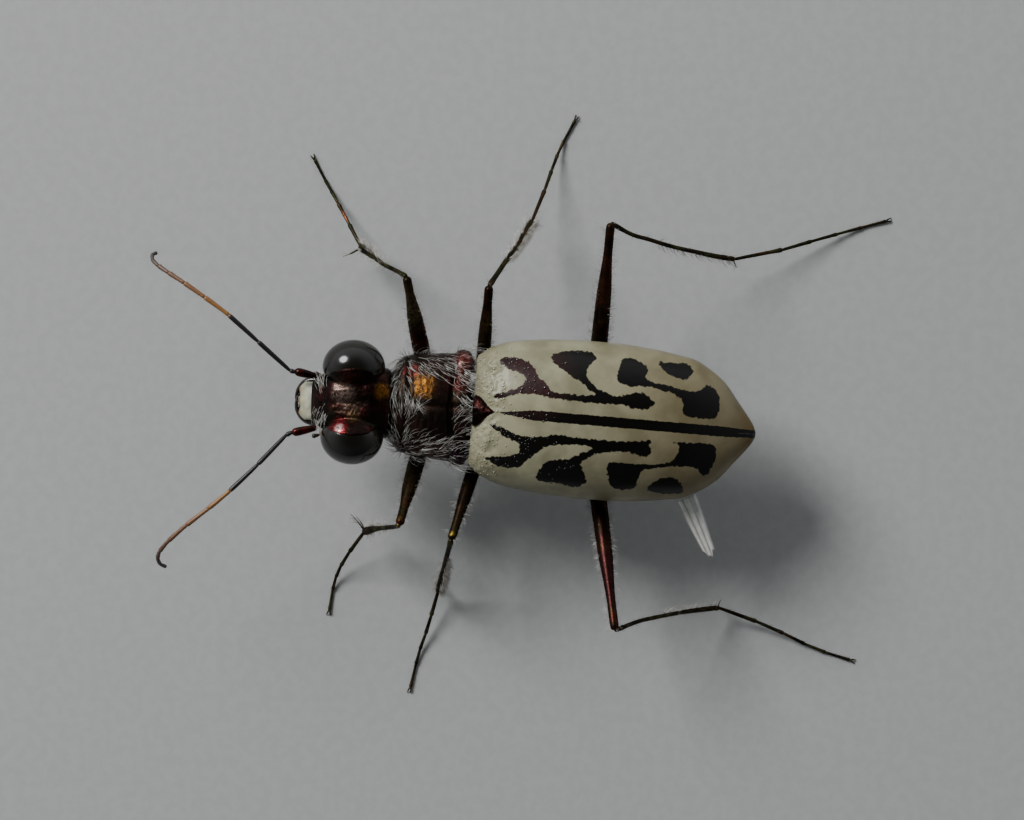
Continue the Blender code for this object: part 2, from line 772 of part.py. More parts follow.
def core_ring(y_outer):
    """A section of the body under the wing cases, stepped out below their margin."""
    shrink = inward_shrink(CASE_THICKNESS + CORE_GAP)
    first = CASE_STATIONS[0][0]
    y = first + (y_outer - first) * shrink[1]
    margin = min(case_values(y)[2], case_values(y_outer)[2]) - GAP
    flank = smooth_value(BELLY_STATIONS, 1, y)
    belly = smooth_value(BELLY_STATIONS, 2, y)
    near = min(abs(y - joint) for joint in BELLY_JOINTS)
    belly += BELLY_JOINT_DEPTH * math.exp(-((near / BELLY_JOINT_WIDTH) ** 2))
    flank -= BELLY_JOINT_DEPTH * math.exp(-((near / BELLY_JOINT_WIDTH) ** 2))
    half = []
    for k in range(CORE_COLUMNS):
        x, _, z = case_point(y_outer, k / CORE_COLUMNS, 0.0, shrink)
        half.append((x, y, max(z, margin + CORE_STEP)))
    half.append((case_point(y_outer, 1.0, 0.0, shrink)[0], y, margin))
    shelf = margin - CORE_STEP / 2
    for k in range(BELLY_COLUMNS):
        angle = math.radians(90 * k / BELLY_COLUMNS)
        x = flank * power(math.cos(angle), BELLY_ROUNDNESS)
        half.append((x, y, shelf - (shelf - belly) * power(math.sin(angle), BELLY_ROUNDNESS)))
    half.append((0.0, y, belly))
    other = [(-x, y_here, z) for x, y_here, z in reversed(half[1:-1])]
    return half + other


def outer_place(y):
    """The place on the wing cases whose section shrinks onto a place in the body."""
    first = CASE_STATIONS[0][0]
    return first + (y - first) / inward_shrink(CASE_THICKNESS + CORE_GAP)[1]


def make_core(name, span, places, look_name, look, frame):
    """One length of the body under the wing cases."""
    rings = [core_ring(outer_place(y)) for y in sorted({span[0], *places, span[1]})]
    return new_object(name, loft(name, rings), look_name, look, frame)


def make_thorax(frame):
    """The two hind rings of the thorax in one piece."""
    start, end = THORAX_RANGE
    places = [start + (end - start) * k / (THORAX_RINGS - 1) for k in range(THORAX_RINGS)]
    thorax = make_core("thorax", THORAX_RANGE, places, "body bronze", BODY_BRONZE, frame)
    combine(thorax, [scutellum_object("clearance", frame, FINE_GAP, 0.14)], "DIFFERENCE")
    return thorax


def make_abdomen(frame):
    """The abdomen, with a shallow groove at each joint of its belly."""
    lip, middle = BELLY_JOINT_WIDTH * 1.8, BELLY_JOINT_WIDTH * 4.7
    places = [joint + step for joint in BELLY_JOINTS for step in (-lip, 0.0, lip)]
    places += [joint + middle for joint in BELLY_JOINTS[:-1]]
    places += ABDOMEN_PLACES
    make_core("abdomen", ABDOMEN_RANGE, places, "body bronze", BODY_BRONZE, frame)


def scutellum_object(name, frame, grow, reach):
    """The scutellum's triangle, or its clearance when grown sideways and in height."""
    half = SCUTELLUM_HALF_WIDTH + grow
    front = SCUTELLUM_FRONT - (grow * 3 if grow else 0.0)
    tip = SCUTELLUM_TIP + grow * 1.6
    slope = half / (tip - SCUTELLUM_FRONT)
    wide = half + slope * (SCUTELLUM_FRONT - front)
    plan = (
        (-wide, front, 0),
        (wide, front, 0),
        (half * 0.62, SCUTELLUM_FRONT + (tip - SCUTELLUM_FRONT) * 0.46, 0.5),
        (0.0, tip, 1),
        (-half * 0.62, SCUTELLUM_FRONT + (tip - SCUTELLUM_FRONT) * 0.46, 0.5),
    )
    rings = []
    for level, reach_here in ((SCUTELLUM_BOTTOM, -grow), (SCUTELLUM_TOP, reach * bool(grow))):
        rings.append(
            [(x, y, level[0] + (level[1] - level[0]) * rise + reach_here) for x, y, rise in plan]
        )
    return helper_object(name, loft(name, rings), frame)


def make_scutellum(frame):
    """The small triangle between the roots of the wing cases."""
    plate = scutellum_object("scutellum", frame, 0.0, 0.0)
    plate.data.materials.append(finish_of("copper", COPPER))


def make_wing_tip(frame):
    """The tip of the folded hind wing, with its main veins raised on both faces."""
    root, point = Vector(WING_ROOT), Vector(WING_POINT)
    along = (point - root).normalized()
    across = along.cross(Vector((0, 0, 1))).normalized()
    up = across.cross(along)
    columns = WING_VEINS * 2
    rings = []
    for k in range(WING_RINGS):
        share = k / (WING_RINGS - 1)
        width = WING_WIDTH * (1 - WING_TAPER * share**1.6)
        thick = 2 * LIMB_RADIUS * (1 - WING_TAPER * share)
        centre = root + (point - root) * share
        top, low = [], []
        for j in range(columns + 1):
            spot = -0.5 + j / columns
            vein = WING_VEIN_HEIGHT * (1 - 0.5 * share) * (1 if j % 2 else -0.2)
            lean = along * (WING_LEAN * spot * (1 - share))
            place = centre + across * width * spot + lean
            top.append(place + up * (thick / 2 + vein))
            low.append(place - up * (thick / 2 - vein * 0.5))
        rings.append(top + low[::-1])
    mesh = loft("wing_tip_left", rings)
    new_object("wing_tip_left", mesh, "wing clear", WING_CLEAR, frame)


def mitre(before, joint, after):
    """The plane that halves the bend at a joint, as its two faces, its normal and its reach.

    The reach is how far back along the limb the plane cuts a limb of the usual radius.
    """
    inward = (Vector(joint) - Vector(before)).normalized()
    outward = (Vector(after) - Vector(joint)).normalized()
    normal = (inward + outward).normalized()
    middle = Vector(joint)
    slant = inward.dot(normal)
    reach = (GAP / 2 + LIMB_RADIUS * math.sqrt(1 - slant**2)) / slant + JOINT_MARGIN
    return middle - normal * GAP / 2, middle + normal * GAP / 2, normal, reach


def make_coxa(label, leg):
    """The round root joint of a leg, with the trochanter that grows out of its side.

    It returns the place where the thigh starts, and the sockets that the body above it needs.
    """
    root, hip, knee = (Vector(leg[key]) for key in ("root", "hip", "knee"))
    down = (hip - root).normalized()
    out = (knee - hip).normalized()
    end = hip + out * TROCHANTER_LENGTH
    path = [root + (hip - root) * share for share, _ in COXA_PROFILE]
    path[-1] += down * COXA_END
    radii = [COXA_RADIUS * scale for _, scale in COXA_PROFILE]
    name = f"leg_{label}_coxa"
    coxa = new_object(
        name, loft(name, tube_rings(path, radii, COXA_SIDES)), "body bronze", BODY_BRONZE
    )
    sunk = hip - out * TROCHANTER_RADIUS * 0.4
    neck = (sunk, hip + out * TROCHANTER_LENGTH * 0.6, end)
    widths = [TROCHANTER_RADIUS * scale for scale in (0.9, 1.0, 0.92)]
    trochanter = loft("trochanter", tube_rings(neck, widths, COXA_SIDES))
    combine(coxa, [helper_object("trochanter", trochanter)], "UNION")
    wide = [radius + FINE_GAP for radius in radii]
    path[0] -= down * FINE_GAP
    path[-1] += down * FINE_GAP
    neck = (sunk, neck[1], end + out * FINE_GAP)
    room = [TROCHANTER_RADIUS + FINE_GAP] * 3
    return tuple(end), [
        helper_object("socket", loft("socket", tube_rings(path, wide, COXA_SIDES))),
        helper_object("room", loft("room", tube_rings(neck, room, COXA_SIDES))),
    ]


def make_femur(label, leg, start):
    """The thigh, stoutest in its first third, cut square at the hip and mitred at the knee."""
    hip, knee, ankle = start, leg["knee"], leg["ankle"]
    along = (Vector(knee) - Vector(hip)).normalized()
    first = Vector(hip) + along * GAP
    face, _, normal, reach = mitre(tuple(first), knee, ankle)
    last = 1 - reach / distance(first, knee)
    shares = [last * share for share in (0.0, 0.08, 0.24, 0.46, 0.70, 0.88, 1.0)] + [1.0]
    stout = leg["thigh_radius"]
    slim = LIMB_RADIUS
    radii = [stout * 0.82, stout * 0.95, stout, stout * 0.96, slim * 1.06, slim, slim * 1.04]
    radii.append(slim * KNEE_WAIST)
    places = [between(tuple(first), knee, share) for share in shares]
    name = f"leg_{label}_femur"
    rings = tube_rings(places, radii, THIGH_SIDES, end_plane=(face, normal))
    new_object(name, loft(name, rings), "thigh purple", THIGH_PURPLE)


def make_tibia(label, leg):
    """The shin, mitred at the knee and at the ankle, with two spurs at its end."""
    hip, knee, ankle = leg["hip"], leg["knee"], leg["ankle"]
    first_joint = tarsus_points(leg)[1]
    _, start_face, start_normal, start_reach = mitre(hip, knee, ankle)
    end_face, _, end_normal, end_reach = mitre(knee, ankle, first_joint)
    length = distance(knee, ankle)
    first, last = start_reach / length, 1 - end_reach / length
    inner = [first + (last - first) * share for share in (0.0, 0.3, 0.65, 1.0)]
    shares = [0.0, *inner, 1.0]
    radii = [LIMB_RADIUS * scale for scale in (KNEE_WAIST, 1.0, 0.98, 1.0, 1.12, 0.96)]
    places = [between(knee, ankle, share) for share in shares]
    planes = ((start_face, start_normal), (end_face, end_normal))
    rings = tube_rings(places, radii, SHIN_SIDES, *planes)
    name = f"leg_{label}_tibia"
    shin = new_object(name, loft(name, rings), "shin green", SHIN_GREEN)
    along = (Vector(ankle) - Vector(knee)).normalized()
    onward = (Vector(first_joint) - Vector(ankle)).normalized()
    across = along.cross(onward).normalized()
    away = along.cross(across).normalized()
    if away.dot(onward) > 0:
        away = -away
    spurs = []
    for turn in (-1, 1):
        lean = across * turn * 0.75 + away * 0.66
        spread = math.radians(SPUR_SPREAD)
        aim = along * math.cos(spread) + lean * math.sin(spread)
        root = Vector(ankle) - along * SPUR_PLACE + lean * SPUR_RADIUS
        tip = root + aim.normalized() * SPUR_LENGTH
        spurs.append(helper_object("spur", spike_mesh("spur", root, tip, SPUR_RADIUS)))
    combine(shin, spurs, "UNION")


def tarsus_points(leg):
    """Ends of the five tarsal joints: a sagging line down to the last one, which lies level."""
    ankle = leg["ankle"]
    tip = (*leg["toe"], FOOT_HEIGHT)
    toe = between(tip, ankle, CLAW_REACH / distance(tip, ankle))
    ends = [ankle]
    for share in (*leg["joints"], 1.0):
        x, y, _ = between(ankle, toe, share)
        fall = max(0.0, 1 - share / leg["joints"][-1]) ** TARSUS_SAG
        ends.append((x, y, FOOT_HEIGHT + (ankle[2] - FOOT_HEIGHT) * fall))
    return ends


def make_tarsus(label, leg):
    """The five-jointed foot with two claws, flat where it stands on the floor."""
    ends = tarsus_points(leg)
    _, start_face, start_normal, reach = mitre(leg["knee"], ends[0], ends[1])
    places, sizes = jointed_path(ends, [LIMB_RADIUS] * 4 + [LIMB_RADIUS * 0.95], 0.8)
    places[0] = ends[0]
    places[1] = between(ends[0], ends[1], max(0.5, reach / distance(ends[0], ends[1])))
    sizes[0] = LIMB_RADIUS * 0.96
    rings = tube_rings(places, sizes, SHIN_SIDES, start_plane=(start_face, start_normal))
    name = f"leg_{label}_tarsus"
    foot = new_object(name, loft(name, rings), "shin green", SHIN_GREEN)
    along = (Vector(ends[-1]) - Vector(ends[-2])).normalized()
    root = Vector(places[-1]) - along * CLAW_RADIUS
    claws = []
    for turn in (-1, 1):
        angle = math.radians(CLAW_SPREAD * turn)
        aim = Vector(
            (
                along.x * math.cos(angle) - along.y * math.sin(angle),
                along.x * math.sin(angle) + along.y * math.cos(angle),
                0.0,
            )
        ).normalized()
        tip = root + aim * CLAW_LENGTH
        tip.z = CLAW_TIP_HEIGHT
        lift = (0.0, 0.0, CLAW_LIFT)
        claws.append(helper_object("claw", spike_mesh("claw", root, tip, CLAW_RADIUS, lift)))
    combine(foot, claws, "UNION")
    stand_on_floor(foot)


def stand_on_floor(foot):
    """Cut a foot flat at the level of the floor."""
    form = bmesh.new()
    bmesh.ops.create_cube(form, size=1.0)
    for corner in form.verts:
        corner.co.x *= FLOOR_CUT_WIDTH
        corner.co.y *= FLOOR_CUT_WIDTH
        corner.co.z = (corner.co.z - 0.5) * FLOOR_CUT_DEPTH
    floor = helper_object("floor", finished_mesh("floor", form))
    combine(foot, [floor], "DIFFERENCE")


def make_legs(prothorax, thorax):
    """Six legs, and the sockets of their roots in the body."""
    sockets = {prothorax.name: [], thorax.name: []}
    for label, leg in LEGS.items():
        carrier = prothorax if label.startswith("front") else thorax
        start, room = make_coxa(label, leg)
        sockets[carrier.name].extend(room)
        make_femur(label, leg, start)
        make_tibia(label, leg)
        make_tarsus(label, leg)
    for carrier in (prothorax, thorax):
        combine(carrier, sockets[carrier.name], "DIFFERENCE")


def main():
    """Build the whole beetle."""
    clear_scene()
    head_frame = body_frame("head_frame", HEAD_PLACE, HEAD_TURN, HEAD_TILT)
    prothorax_frame = body_frame(
        "prothorax_frame", PROTHORAX_PLACE, PROTHORAX_TURN, PROTHORAX_TILT
    )
    hind_frame = body_frame("hind_frame", HIND_PLACE, HIND_TURN, HIND_TILT)
    make_head(head_frame)
    make_eyes(head_frame)
    make_lip(head_frame)
    make_jaws(head_frame)
    make_palps(head_frame)
    make_feelers()
    prothorax = make_prothorax(prothorax_frame)
    for label, side in (("right", -1), ("left", 1)):
        make_wing_case(label, side, hind_frame)
    thorax = make_thorax(hind_frame)
    make_abdomen(hind_frame)
    make_scutellum(hind_frame)
    make_wing_tip(hind_frame)
    make_legs(prothorax, thorax)


main()
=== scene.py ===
"""Looks of a life-size tiger beetle that stands with its legs and feelers spread.

Lengths are in millimetres and angles in degrees until a mesh is made. The head points along -Y, the
beetle's left side is +X and the feet stand on z = 0. Each part of the body is a class that holds its
sizes, builds its skins and dresses them, and each finish is a small class of its own.
"""

from __future__ import annotations

import logging
import math
from dataclasses import dataclass, field, replace
from enum import Enum
from typing import Any, Sequence

import bmesh
import bpy
import numpy as np
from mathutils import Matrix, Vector, noise


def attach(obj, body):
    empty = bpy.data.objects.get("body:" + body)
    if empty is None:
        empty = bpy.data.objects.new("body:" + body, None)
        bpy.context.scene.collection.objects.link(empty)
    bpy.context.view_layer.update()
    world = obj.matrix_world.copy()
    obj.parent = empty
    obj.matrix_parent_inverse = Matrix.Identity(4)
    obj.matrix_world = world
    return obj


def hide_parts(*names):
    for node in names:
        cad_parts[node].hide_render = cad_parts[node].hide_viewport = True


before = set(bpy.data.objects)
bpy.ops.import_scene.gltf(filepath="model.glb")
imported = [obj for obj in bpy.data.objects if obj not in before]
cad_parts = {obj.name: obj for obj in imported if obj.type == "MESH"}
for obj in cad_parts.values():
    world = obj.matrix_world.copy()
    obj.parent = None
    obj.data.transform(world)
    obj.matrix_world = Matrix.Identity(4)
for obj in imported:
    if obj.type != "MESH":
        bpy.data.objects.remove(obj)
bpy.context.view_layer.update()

LOG = logging.getLogger("beetle")
MM = 0.001
CHITIN_IOR = 1.56
# The low and the high corner of the whole unwrap.
FULL_WINDOW = (0.0, 0.0, 1.0, 1.0)
# The unwrap that each coat's hairs are mapped on, and the share of it that one hair's own patch takes.
COAT_MAP = "OFBake"
PATCH = 0.003
# The words that Blender puts before the name of a kind of node.
NODE_FAMILIES = ("ShaderNode", "GeometryNode", "FunctionNode", "")

Array = np.ndarray
Point = tuple[float, float, float]
Path = tuple[Point, ...]
Pair = tuple[float, float]
Pairs = tuple[Pair, ...]
Window = tuple[float, ...]


class Side(Enum):
    """The two sides of the beetle, as the sign of X."""

    RIGHT = -1
    LEFT = 1

    @property
    def label(self) -> str:
        """The side's name in piece and node names."""
        return self.name.lower()


class Slot(Enum):
    """The record's material slots."""

    COPPER = "copper_cuticle"
    EYE = "eye_brown"
    IVORY = "ivory_cuticle"
    JAW = "jaw_brown"
    PALP = "palp_amber"
    FEELER = "feeler_brown"
    BRONZE = "body_bronze"
    THIGH = "thigh_purple"
    SHIN = "shin_green"
    WING = "wing_membrane"
    HAIR = "white_hair"


def linear(code: str) -> tuple[float, float, float, float]:
    """Turn an sRGB hex colour into linear light.

    Args:
        code: The colour, such as "#d8d2b4".

    Returns:
        Linear red, green and blue, and an alpha of 1.
    """
    shares = [int(code[k : k + 2], 16) / 255 for k in (1, 3, 5)]
    light = [s / 12.92 if s <= 0.04045 else ((s + 0.055) / 1.055) ** 2.4 for s in shares]
    return (light[0], light[1], light[2], 1.0)


def per_size(size: float) -> float:
    """The scale of a pattern whose features are this many millimetres apart."""
    return 1.0 / (size * MM)


def feed(tree: Any, node: Any, inputs: dict[Any, Any]) -> None:
    """Set or link inputs of a node.

    Args:
        tree: The node's tree.
        node: The node.
        inputs: What each input gets, by its number or its name: a value, a hex colour, a node whose
            first output is linked, or a pair of a node and the name of its output.
    """
    for key, value in inputs.items():
        if isinstance(key, int):
            socket = node.inputs[key]
        else:
            socket = next(s for s in node.inputs if s.name == key.replace("_", " ") and s.enabled)
        if isinstance(value, bpy.types.Node):
            value = (value, None)
        if isinstance(value, tuple) and isinstance(value[0], bpy.types.Node):
            source, output = value
            found = next(s for s in source.outputs if s.enabled and output in (None, s.name))
            tree.links.new(found, socket)
        elif isinstance(value, str) and value.startswith("#"):
            socket.default_value = linear(value)
        else:
            socket.default_value = value


def add_node(tree: Any, kind: str, *numbered: Any, **named: Any) -> Any:
    """Add a node to a tree, with its settings and links.

    Args:
        tree: The shader or geometry tree that gets the node.
        kind: Blender's name for the kind of node, without the word for its family.
        numbered: What its first inputs get, in their order, as feed takes it.
        named: What other inputs get, named with a capital and with _ for a space. A name in small
            letters is a setting of the node, and "stops" are the places and colours of a ramp.

    Returns:
        The new node.
    """
    made = tree.nodes.new(next(word + kind for word in NODE_FAMILIES if hasattr(bpy.types, word + kind)))
    inputs = dict(enumerate(numbered))
    for name, value in named.items():
        if name == "stops":
            ramp = made.color_ramp.elements
            while len(ramp) < len(value):
                ramp.new(0.5)
            for stop, (place, colour) in zip(ramp, value):
                stop.position = place
                stop.color = linear(colour)
        elif name[0].islower():
            setattr(made, name, value)
        else:
            inputs[name] = value
    feed(tree, made, inputs)
    return made


def spacing(count: int) -> Array:
    """Shares from 0 to 1 that lie closer together towards both ends."""
    even = np.linspace(0.0, 1.0, count)
    return 0.35 * even + 0.65 * (0.5 - 0.5 * np.cos(math.pi * even))


def signed_power(value: Array, exponent: float) -> Array:
    """A power that keeps the sign."""
    return np.sign(value) * np.abs(value) ** exponent


def hill(distance: Array, width: float) -> Array:
    """A smooth bump that is 1 at no distance and fades over the width."""
    return np.exp(-((distance / width) ** 2))


def stacked(*parts: Any) -> Array:
    """Arrays or numbers side by side along a new last axis, each spread to their common shape."""
    return np.stack(np.broadcast_arrays(*parts), axis=-1)


def cells(grid: Array) -> Array:
    """The four corners of each cell of a grid, in their order round the cell."""
    return np.stack([grid[:-1, :-1], grid[:-1, 1:], grid[1:, 1:], grid[1:, :-1]], axis=2)


def ease(low: float, high: float, value: Array) -> Array:
    """A smooth step from 0 at the low value to 1 at the high value."""
    share = np.clip((value - low) / (high - low), 0.0, 1.0)
    return share * share * (3 - 2 * share)


def grain(points: Array, size: float, seed: int = 0) -> Array:
    """Smooth noise at points.

    Args:
        points: Places in millimetres, one in each row.
        size: How far apart the grains are, in millimetres.
        seed: A number that moves the pattern.

    Returns:
        A value from about -1 to 1 at each point.
    """
    flat = points.reshape(-1, 3) / size + 17.3 * seed
    values = np.array([noise.noise(Vector(point)) for point in flat])
    return values.reshape(points.shape[:-1])


def smooth_line(points: Sequence[Sequence[float]], steps: int, closed: bool = False) -> Array:
    """Points on a smooth line through a few given ones.

    Args:
        points: The given points.
        steps: How many points are made for each stretch between two given ones.
        closed: Whether the line comes back to its start.

    Returns:
        The points of the line, one in each row.
    """
    given = np.array(points, float)
    if closed:
        run = np.concatenate([given[-1:], given, given[:2]])
    else:
        run = np.concatenate([2 * given[:1] - given[1:2], given, 2 * given[-1:] - given[-2:-1]])
    t = (np.arange(steps) / steps)[:, None]
    stretches = []
    for a, b, c, d in zip(run, run[1:], run[2:], run[3:]):
        bend = (c - a) * t + (2 * a - 5 * b + 4 * c - d) * t**2 + (3 * b - a - 3 * c + d) * t**3
        stretches.append(b + 0.5 * bend)
    return np.concatenate(stretches if closed else [*stretches, given[-1:]])


def places_along(line: Array, shares: Array) -> tuple[Array, float]:
    """Places on a line, and its length.

    Args:
        line: The points of the line.
        shares: Shares of the line's length.

    Returns:
        The place at each share, and the length.
    """
    steps = np.linalg.norm(np.diff(line, axis=0), axis=1)
    run = np.concatenate([[0.0], np.cumsum(steps)])
    spots = stacked(*(np.interp(shares * run[-1], run, line[:, k]) for k in range(3)))
    return spots, float(run[-1])


def inside_depth(outline: Array, spots: Array) -> Array:
    """How deep each spot lies inside a closed outline, below zero outside it.

    Args:
        outline: The outline's points, two numbers each.
        spots: The spots, two numbers each.

    Returns:
        The depth of each spot.
    """
    start, step = outline, np.roll(outline, -1, axis=0) - outline
    nearest = np.full(len(spots), np.inf)
    crossed = np.zeros(len(spots), bool)
    for (ax, ay), (dx, dy) in zip(start, step):
        px, py = spots[:, 0] - ax, spots[:, 1] - ay
        share = np.clip((px * dx + py * dy) / max(dx * dx + dy * dy, 1e-12), 0.0, 1.0)
        nearest = np.minimum(nearest, np.hypot(px - share * dx, py - share * dy))
        if dy:
            straddles = (py >= 0) != (py - dy >= 0)
            crossed ^= straddles & (px < dx * py / dy)
    return np.where(crossed, nearest, -nearest)


@dataclass(frozen=True)
class Profile:
    """Sizes at stations along a part, joined by curves that never overshoot."""

    rows: Sequence[Any]

    @property
    def ends(self) -> Pair:
        """The first and the last place of the table."""
        return self.rows[0][0], self.rows[-1][0]

    def read(self, column: int, at: Array) -> Array:
        """Read one size at many places.

        Args:
            column: Which size, counted from 1.
            at: The places.

        Returns:
            The size at each place.
        """
        table = np.array(self.rows)
        places, values = table[:, 0], table[:, column]
        slopes = np.diff(values) / np.diff(places)
        product, total = slopes[:-1] * slopes[1:], slopes[:-1] + slopes[1:]
        steady = np.where(product > 0, 2 * product / np.where(product > 0, total, 1.0), 0.0)
        tangents = np.concatenate([slopes[:1], steady, slopes[-1:]])
        at = np.clip(at, places[0], places[-1])
        k = np.clip(np.searchsorted(places, at, side="right") - 1, 0, len(places) - 2)
        span = places[k + 1] - places[k]
        t = (at - places[k]) / span
        return (
            values[k] * (2 * t**3 - 3 * t**2 + 1) + tangents[k] * span * (t**3 - 2 * t**2 + t)
            + values[k + 1] * (3 * t**2 - 2 * t**3) + tangents[k + 1] * span * (t**3 - t**2)
        )


@dataclass(frozen=True)
class BodyFrame:
    """Where a part of the body sits, its turn about Z and how far its front is raised."""

    place: Point
    turn: float
    tilt: float

    def turned(self, vectors: Array) -> Array:
        """Directions of this part in the model's own frame.

        Args:
            vectors: Directions in the part's frame, one in each row.

        Returns:
            The same directions in the model's frame.
        """
        turn, tilt = math.radians(self.turn), math.radians(-self.tilt)
        x = vectors[..., 0]
        y = vectors[..., 1] * math.cos(tilt) - vectors[..., 2] * math.sin(tilt)
        z = vectors[..., 1] * math.sin(tilt) + vectors[..., 2] * math.cos(tilt)
        across = x * math.cos(turn) - y * math.sin(turn)
        along = x * math.sin(turn) + y * math.cos(turn)
        return stacked(across, along, z)

    def world(self, points: Array) -> Array:
        """Points of this part in the model's own frame."""
        return self.turned(points) + np.array(self.place)


@dataclass
class Skin:
    """A surface in millimetres: points, faces, the unwrap of each face's corners, and marks."""

    points: Array
    faces: list[list[int]]
    unwrap: Array
    marks: dict[str, Array] = field(default_factory=dict)
    closed: bool = True

    @classmethod
    def around(cls, grid: Array, window: Window = FULL_WINDOW, **marks: Array) -> Skin:
        """Close rings of points round their own axis, with a fan of faces on each end.

        Args:
            grid: Rings by points by three coordinates.
            window: The low and the high corner of the part of the unwrap's square that it takes.
            marks: Values at the grid's points.

        Returns:
            The closed skin.
        """
        rows, columns = grid.shape[:2]
        index = np.arange(rows * columns).reshape(rows, columns)
        after = np.roll(index, -1, axis=1)
        quads = cells(np.concatenate([index, index[:, :1]], axis=1)).reshape(-1, 4)
        first = stacked(rows * columns, after[0], index[0])
        last = stacked(rows * columns + 1, index[-1], after[-1])
        u = np.arange(columns + 1) / columns
        v = 0.02 + 0.96 * np.arange(rows) / (rows - 1)
        corner = stacked(*np.meshgrid(u, v))
        middle = (u[:-1] + u[1:]) / 2
        ends = []
        for edge, low in ((corner[0], 0.0), (corner[-1], 1.0)):
            tip = stacked(middle, low)
            pair = (edge[1:], edge[:-1]) if low == 0.0 else (edge[:-1], edge[1:])
            ends.append(np.stack([tip, *pair], axis=1).reshape(-1, 2))
        unwrap = np.concatenate([cells(corner).reshape(-1, 2), *ends])
        near, far = np.array(window).reshape(2, 2)

        def with_ends(values: Array) -> Array:
            """Values at the points, then at the middles of the two end rings."""
            flat = values.reshape(rows * columns, *values.shape[2:])
            return np.concatenate([flat, values[0].mean(0)[None], values[-1].mean(0)[None]])

        faces = quads.tolist() + first.tolist() + last.tolist()
        known = {name: with_ends(values) for name, values in marks.items()}
        return cls(with_ends(grid), faces, near + unwrap * (far - near), known)

    @classmethod
    def sheet(cls, grid: Array, **marks: Array) -> Skin:
        """An open surface through a grid of points.

        Args:
            grid: Rows by columns by three coordinates.
            marks: Values at the grid's points.

        Returns:
            The open skin, unwrapped on the whole square.
        """
        rows, columns = grid.shape[:2]
        index = np.arange(rows * columns).reshape(rows, columns)
        corner = stacked(*np.meshgrid(np.linspace(0, 1, columns), np.linspace(0, 1, rows)))
        known = {name: values.reshape(-1, *values.shape[2:]) for name, values in marks.items()}
        faces, unwrap = cells(index).reshape(-1, 4).tolist(), cells(corner).reshape(-1, 2)
        return cls(grid.reshape(-1, 3), faces, unwrap, known, closed=False)

    @classmethod
    def shell(cls, outer: Array, inner: Array, **marks: Array) -> Skin:
        """A sheet with a thickness, closed along its four edges.

        Args:
            outer: Grid of the outer surface.
            inner: Grid of the inner surface, with as many points.
            marks: Values at the outer grid's points, which the inner surface shares.

        Returns:
            The closed skin.
        """
        near, far = cls.sheet(outer, **marks), cls.sheet(inner, **marks)
        count, (rows, columns) = len(near.points), outer.shape[:2]
        index = np.arange(count).reshape(rows, columns)
        made = near.joined(far)
        for edge in (index[0], index[-1], index[:, 0], index[:, -1]):
            strip = stacked(edge[:-1], edge[1:], edge[1:] + count, edge[:-1] + count)
            made.faces += strip.tolist()
            made.unwrap = np.concatenate([made.unwrap, np.zeros((4 * len(strip), 2))])
        made.closed = True
        return made

    def joined(self, *others: Skin) -> Skin:
        """This skin and others as one.

        Args:
            others: The skins to add. Only marks that all of them hold are kept.

        Returns:
            The joined skin.
        """
        skins = [self, *others]
        faces, start = [], 0
        for skin in skins:
            faces += [[corner + start for corner in face] for face in skin.faces]
            start += len(skin.points)
        shared = [name for name in self.marks if all(name in skin.marks for skin in others)]
        return Skin(
            np.concatenate([skin.points for skin in skins]), faces,
            np.concatenate([skin.unwrap for skin in skins]),
            {name: np.concatenate([skin.marks[name] for skin in skins]) for name in shared}, self.closed
        )

    def placed(self, body: BodyFrame) -> Skin:
        """This skin moved from a body part's frame to the model's own."""
        marks = {
            name: body.turned(values) if values.ndim == 2 else values for name, values in self.marks.items()
        }
        return replace(self, points=body.world(self.points), marks=marks)

    def mesh(self, name: str, scale: float = 1.0) -> bpy.types.Mesh:
        """Make a mesh of this skin with its faces turned outward.

        Args:
            name: The mesh's name.
            scale: What the coordinates are multiplied by at the end.

        Returns:
            The mesh, with the marks as attributes and the unwrap as a UV map.
        """
        mesh = bpy.data.meshes.new(name)
        mesh.from_pydata(self.points.tolist(), [], self.faces)
        mesh.uv_layers.new(name="Unwrap").data.foreach_set("uv", self.unwrap.ravel())
        for mark, values in self.marks.items():
            kind, key = ("FLOAT", "value") if values.ndim == 1 else ("FLOAT_VECTOR", "vector")
            mesh.attributes.new(mark, kind, "POINT").data.foreach_set(key, values.ravel())
        form = bmesh.new()
        form.from_mesh(mesh)
        if self.closed:
            bmesh.ops.recalc_face_normals(form, faces=form.faces)
            inside_out = form.calc_volume(signed=True) < 0
        else:
            inside_out = sum(face.normal.z * face.calc_area() for face in form.faces) < 0
        if inside_out:
            bmesh.ops.reverse_faces(form, faces=form.faces)
        for corner in form.verts:
            corner.co *= scale
        form.to_mesh(mesh)
        form.free()
        return mesh


def dress(form: Any, name: str, finish: Finish, slot: Slot, *nodes: str) -> bpy.types.Object:
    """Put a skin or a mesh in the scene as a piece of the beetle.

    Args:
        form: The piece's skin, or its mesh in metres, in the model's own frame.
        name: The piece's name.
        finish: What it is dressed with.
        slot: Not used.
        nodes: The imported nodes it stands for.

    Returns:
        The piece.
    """
    mesh = form.mesh(name, MM) if isinstance(form, Skin) else form
    piece = bpy.data.objects.new(name, mesh)
    mesh.materials.clear()
    mesh.materials.append(finish.material())
    mesh.shade_smooth()
    bpy.context.scene.collection.objects.link(piece)
    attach(piece, "root")
    if nodes:
        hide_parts(*nodes)
    LOG.info("%s: %d faces", name, len(mesh.polygons))
    return piece


